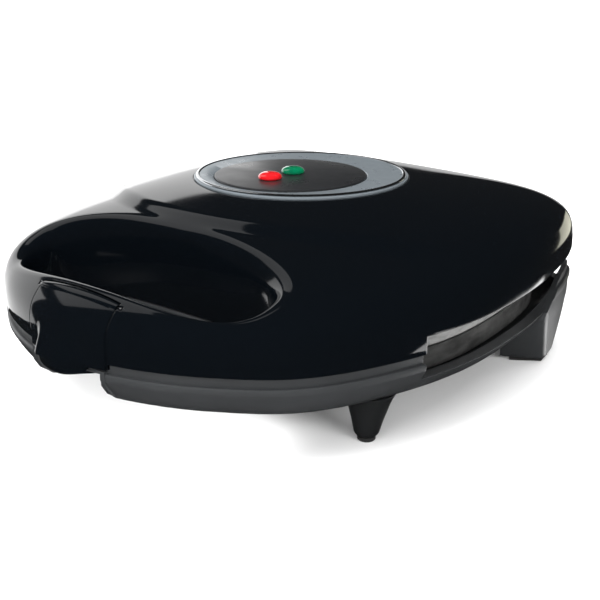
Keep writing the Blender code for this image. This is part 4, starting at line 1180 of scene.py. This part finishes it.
def make_gland():
    low, high = node_box("cable_gland")
    middle = (low + high) / 2
    flange = BASE_BOTTOM - GAP
    neck = GLAND_RADIUS - GAP
    shape = Shape()
    rim = GLAND_RADIUS + 1.6
    bore = GLAND_RADIUS - 2
    profile = [(rim - 0.4, low.z), (rim, low.z + 0.4), (rim, flange), (neck, flange), (neck, high.z),
               (bore, high.z), (bore, low.z + 0.6), (bore + 0.5, low.z)]
    shape.turned(profile, (middle.x, middle.y, 0), 64, ring=True)
    piece = shape.obj("cable_gland_bush")
    shade(piece, 30)
    place(piece, "base", RUBBER, "rubber", "cable_gland")


# Camera, light and floor

VIEW_AZIMUTH = 39.4
VIEW_ELEVATION = 19.15


def add_camera():
    data = bpy.data.cameras.new("camera")
    data.sensor_width = 36
    data.lens = 60
    camera = bpy.data.objects.new("camera", data)
    bpy.context.scene.collection.objects.link(camera)
    camera.location = (0.31235, -0.35815, 0.19387)
    camera.rotation_euler = Euler([math.radians(a) for a in (90 - VIEW_ELEVATION, 0, VIEW_AZIMUTH)])
    bpy.context.scene.camera = camera


def add_light(name, location, target, size, power, glossy=False, diffuse=True, colour=(1, 1, 1)):
    data = bpy.data.lights.new(name, "AREA")
    data.shape = "RECTANGLE"
    data.size, data.size_y = size
    data.energy = power
    data.color = colour
    light = bpy.data.objects.new(name, data)
    bpy.context.scene.collection.objects.link(light)
    light.location = location
    light.rotation_euler = (Vector(target) - Vector(location)).to_track_quat("-Z", "Y").to_euler()
    light.visible_glossy = glossy
    light.visible_diffuse = diffuse
    return light


def add_stage():
    """A pale floor that curves up into a backdrop behind the object."""
    angle = math.radians(VIEW_AZIMUTH)
    away = Vector((-math.sin(angle), math.cos(angle), 0))
    across = Vector((math.cos(angle), math.sin(angle), 0))
    profile = [(-3.0, 0.0), (1.6, 0.0)]
    for turn in np.linspace(-math.pi / 2, 0, 12):
        profile.append((1.6 + 1.2 * math.cos(turn), 1.2 + 1.2 * math.sin(turn)))
    profile.append((2.8, 4.0))
    bm = bmesh.new()
    rows = []
    for u, z in profile:
        rows.append([bm.verts.new(away * u + across * v + Vector((0, 0, z))) for v in (-4, 4)])
    for a, b in zip(rows, rows[1:]):
        bm.faces.new((a[0], a[1], b[1], b[0]))
    mesh = bpy.data.meshes.new("floor")
    bm.to_mesh(mesh)
    bm.free()
    mesh.shade_smooth()
    floor = bpy.data.objects.new("floor", mesh)
    bpy.context.scene.collection.objects.link(floor)
    look = Look("pale_floor", (0.9, 0.9, 0.9), 0.9)
    look.set("Specular IOR Level", 0.0)
    mesh.materials.append(look.material)
    floor.visible_glossy = False


def add_world(strength):
    world = bpy.data.worlds.new("studio")
    world.use_nodes = True
    background = world.node_tree.nodes["Background"]
    background.inputs["Color"].default_value = (1, 1, 1, 1)
    background.inputs["Strength"].default_value = strength
    bpy.context.scene.world = world


bpy.context.scene.view_settings.view_transform = "Standard"
add_camera()
add_stage()
add_world(0.02)
add_light("main", (-0.6, -1.2, 1.6), (0, 0, 0), (1.6, 1.6), 60)
add_light("top", (0, 0.2, 2.0), (0, 0.2, 0), (3.4, 3.4), 75)
add_light("front", (0.5, -1.5, 0.6), (0, 0, 0), (2.0, 1.0), 30)
add_light("side", (1.3, -0.35, 0.55), (0.1, 0, 0.03), (0.7, 0.5), 14)
add_light("wall", (-0.7, 1.0, 2.2), (-1.7, 2.3, 0.9), (1.5, 1.5), 70)
add_light("high_card", (-0.9, -0.2, 1.1), (0, -0.05, 0.05), (0.9, 0.9), 1.8, glossy=True, diffuse=False)
add_light("left_card", (-1.3, 0.35, 0.1), (0, 0.1, 0.05), (1.8, 1.1), 8.5, glossy=True, diffuse=False)
add_light("back_card", (-0.8, 0.95, -0.05), (0, 0, 0.05), (1.6, 0.45), 1.8, glossy=True, diffuse=False)
add_light("side_card", (0.85, 1.05, -0.6), (0.1, 0.05, 0.03), (1.4, 0.45), 8, glossy=True, diffuse=False)
add_light("corner_card", (0.1, 1.4, -0.05), (0.1, 0.1, 0.05), (0.35, 0.3), 0.5, glossy=True, diffuse=False,
          colour=(1.0, 0.98, 0.8))

make_clip()
make_lid()
make_base()
make_trim()
make_plate("lower_plate", "base", True)
make_plate("upper_plate", "lid", False)
make_frame("lower_frame", "base", METAL_PAINTED_SHADE)
make_frame("upper_frame", "lid", METAL_PAINTED_LIGHT)
make_handle_cover("base_handle_cover", "base", 1.6 + WALL + GAP, WALL + GAP)
make_handle_cover("lid_handle_cover", "lid", WALL + GAP, WALL + GAP)
for side, name in ((1, "right"), (-1, "left")):
    make_foot(side, name)
    make_rod("hinge_pin_" + name, "base", STEEL, "steel")
    make_screw("base_handle_screw_" + name, "base")
    make_screw("lid_handle_screw_" + name, "lid")
make_rod("latch_pin", "lid", STEEL, "steel")
for number in range(1, 5):
    make_screw(f"cover_screw_{number}", "base")
make_bottom_cover()
make_gland()

# Pieces that keep their plain shape; the rest are steel
LOOKS = {
    "power_lamp": GLASS, "ready_lamp": GLASS, "lamp_board": BOARD, "terminal_block": CERAMIC,
    "upper_heater": SHEATH, "lower_heater": SHEATH, "upper_reflector": SHIELD, "lower_reflector": SHIELD,
    "thermal_fuse": SLEEVE, "lid_wire_sleeve": SLEEVE,
    "rear_pad_left": RUBBER, "rear_pad_right": RUBBER,
}
for name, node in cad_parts.items():
    if node.hide_render:
        continue
    node.data.materials.clear()
    node.data.materials.append(LOOKS.get(name, STEEL))
    shade(node, 30)
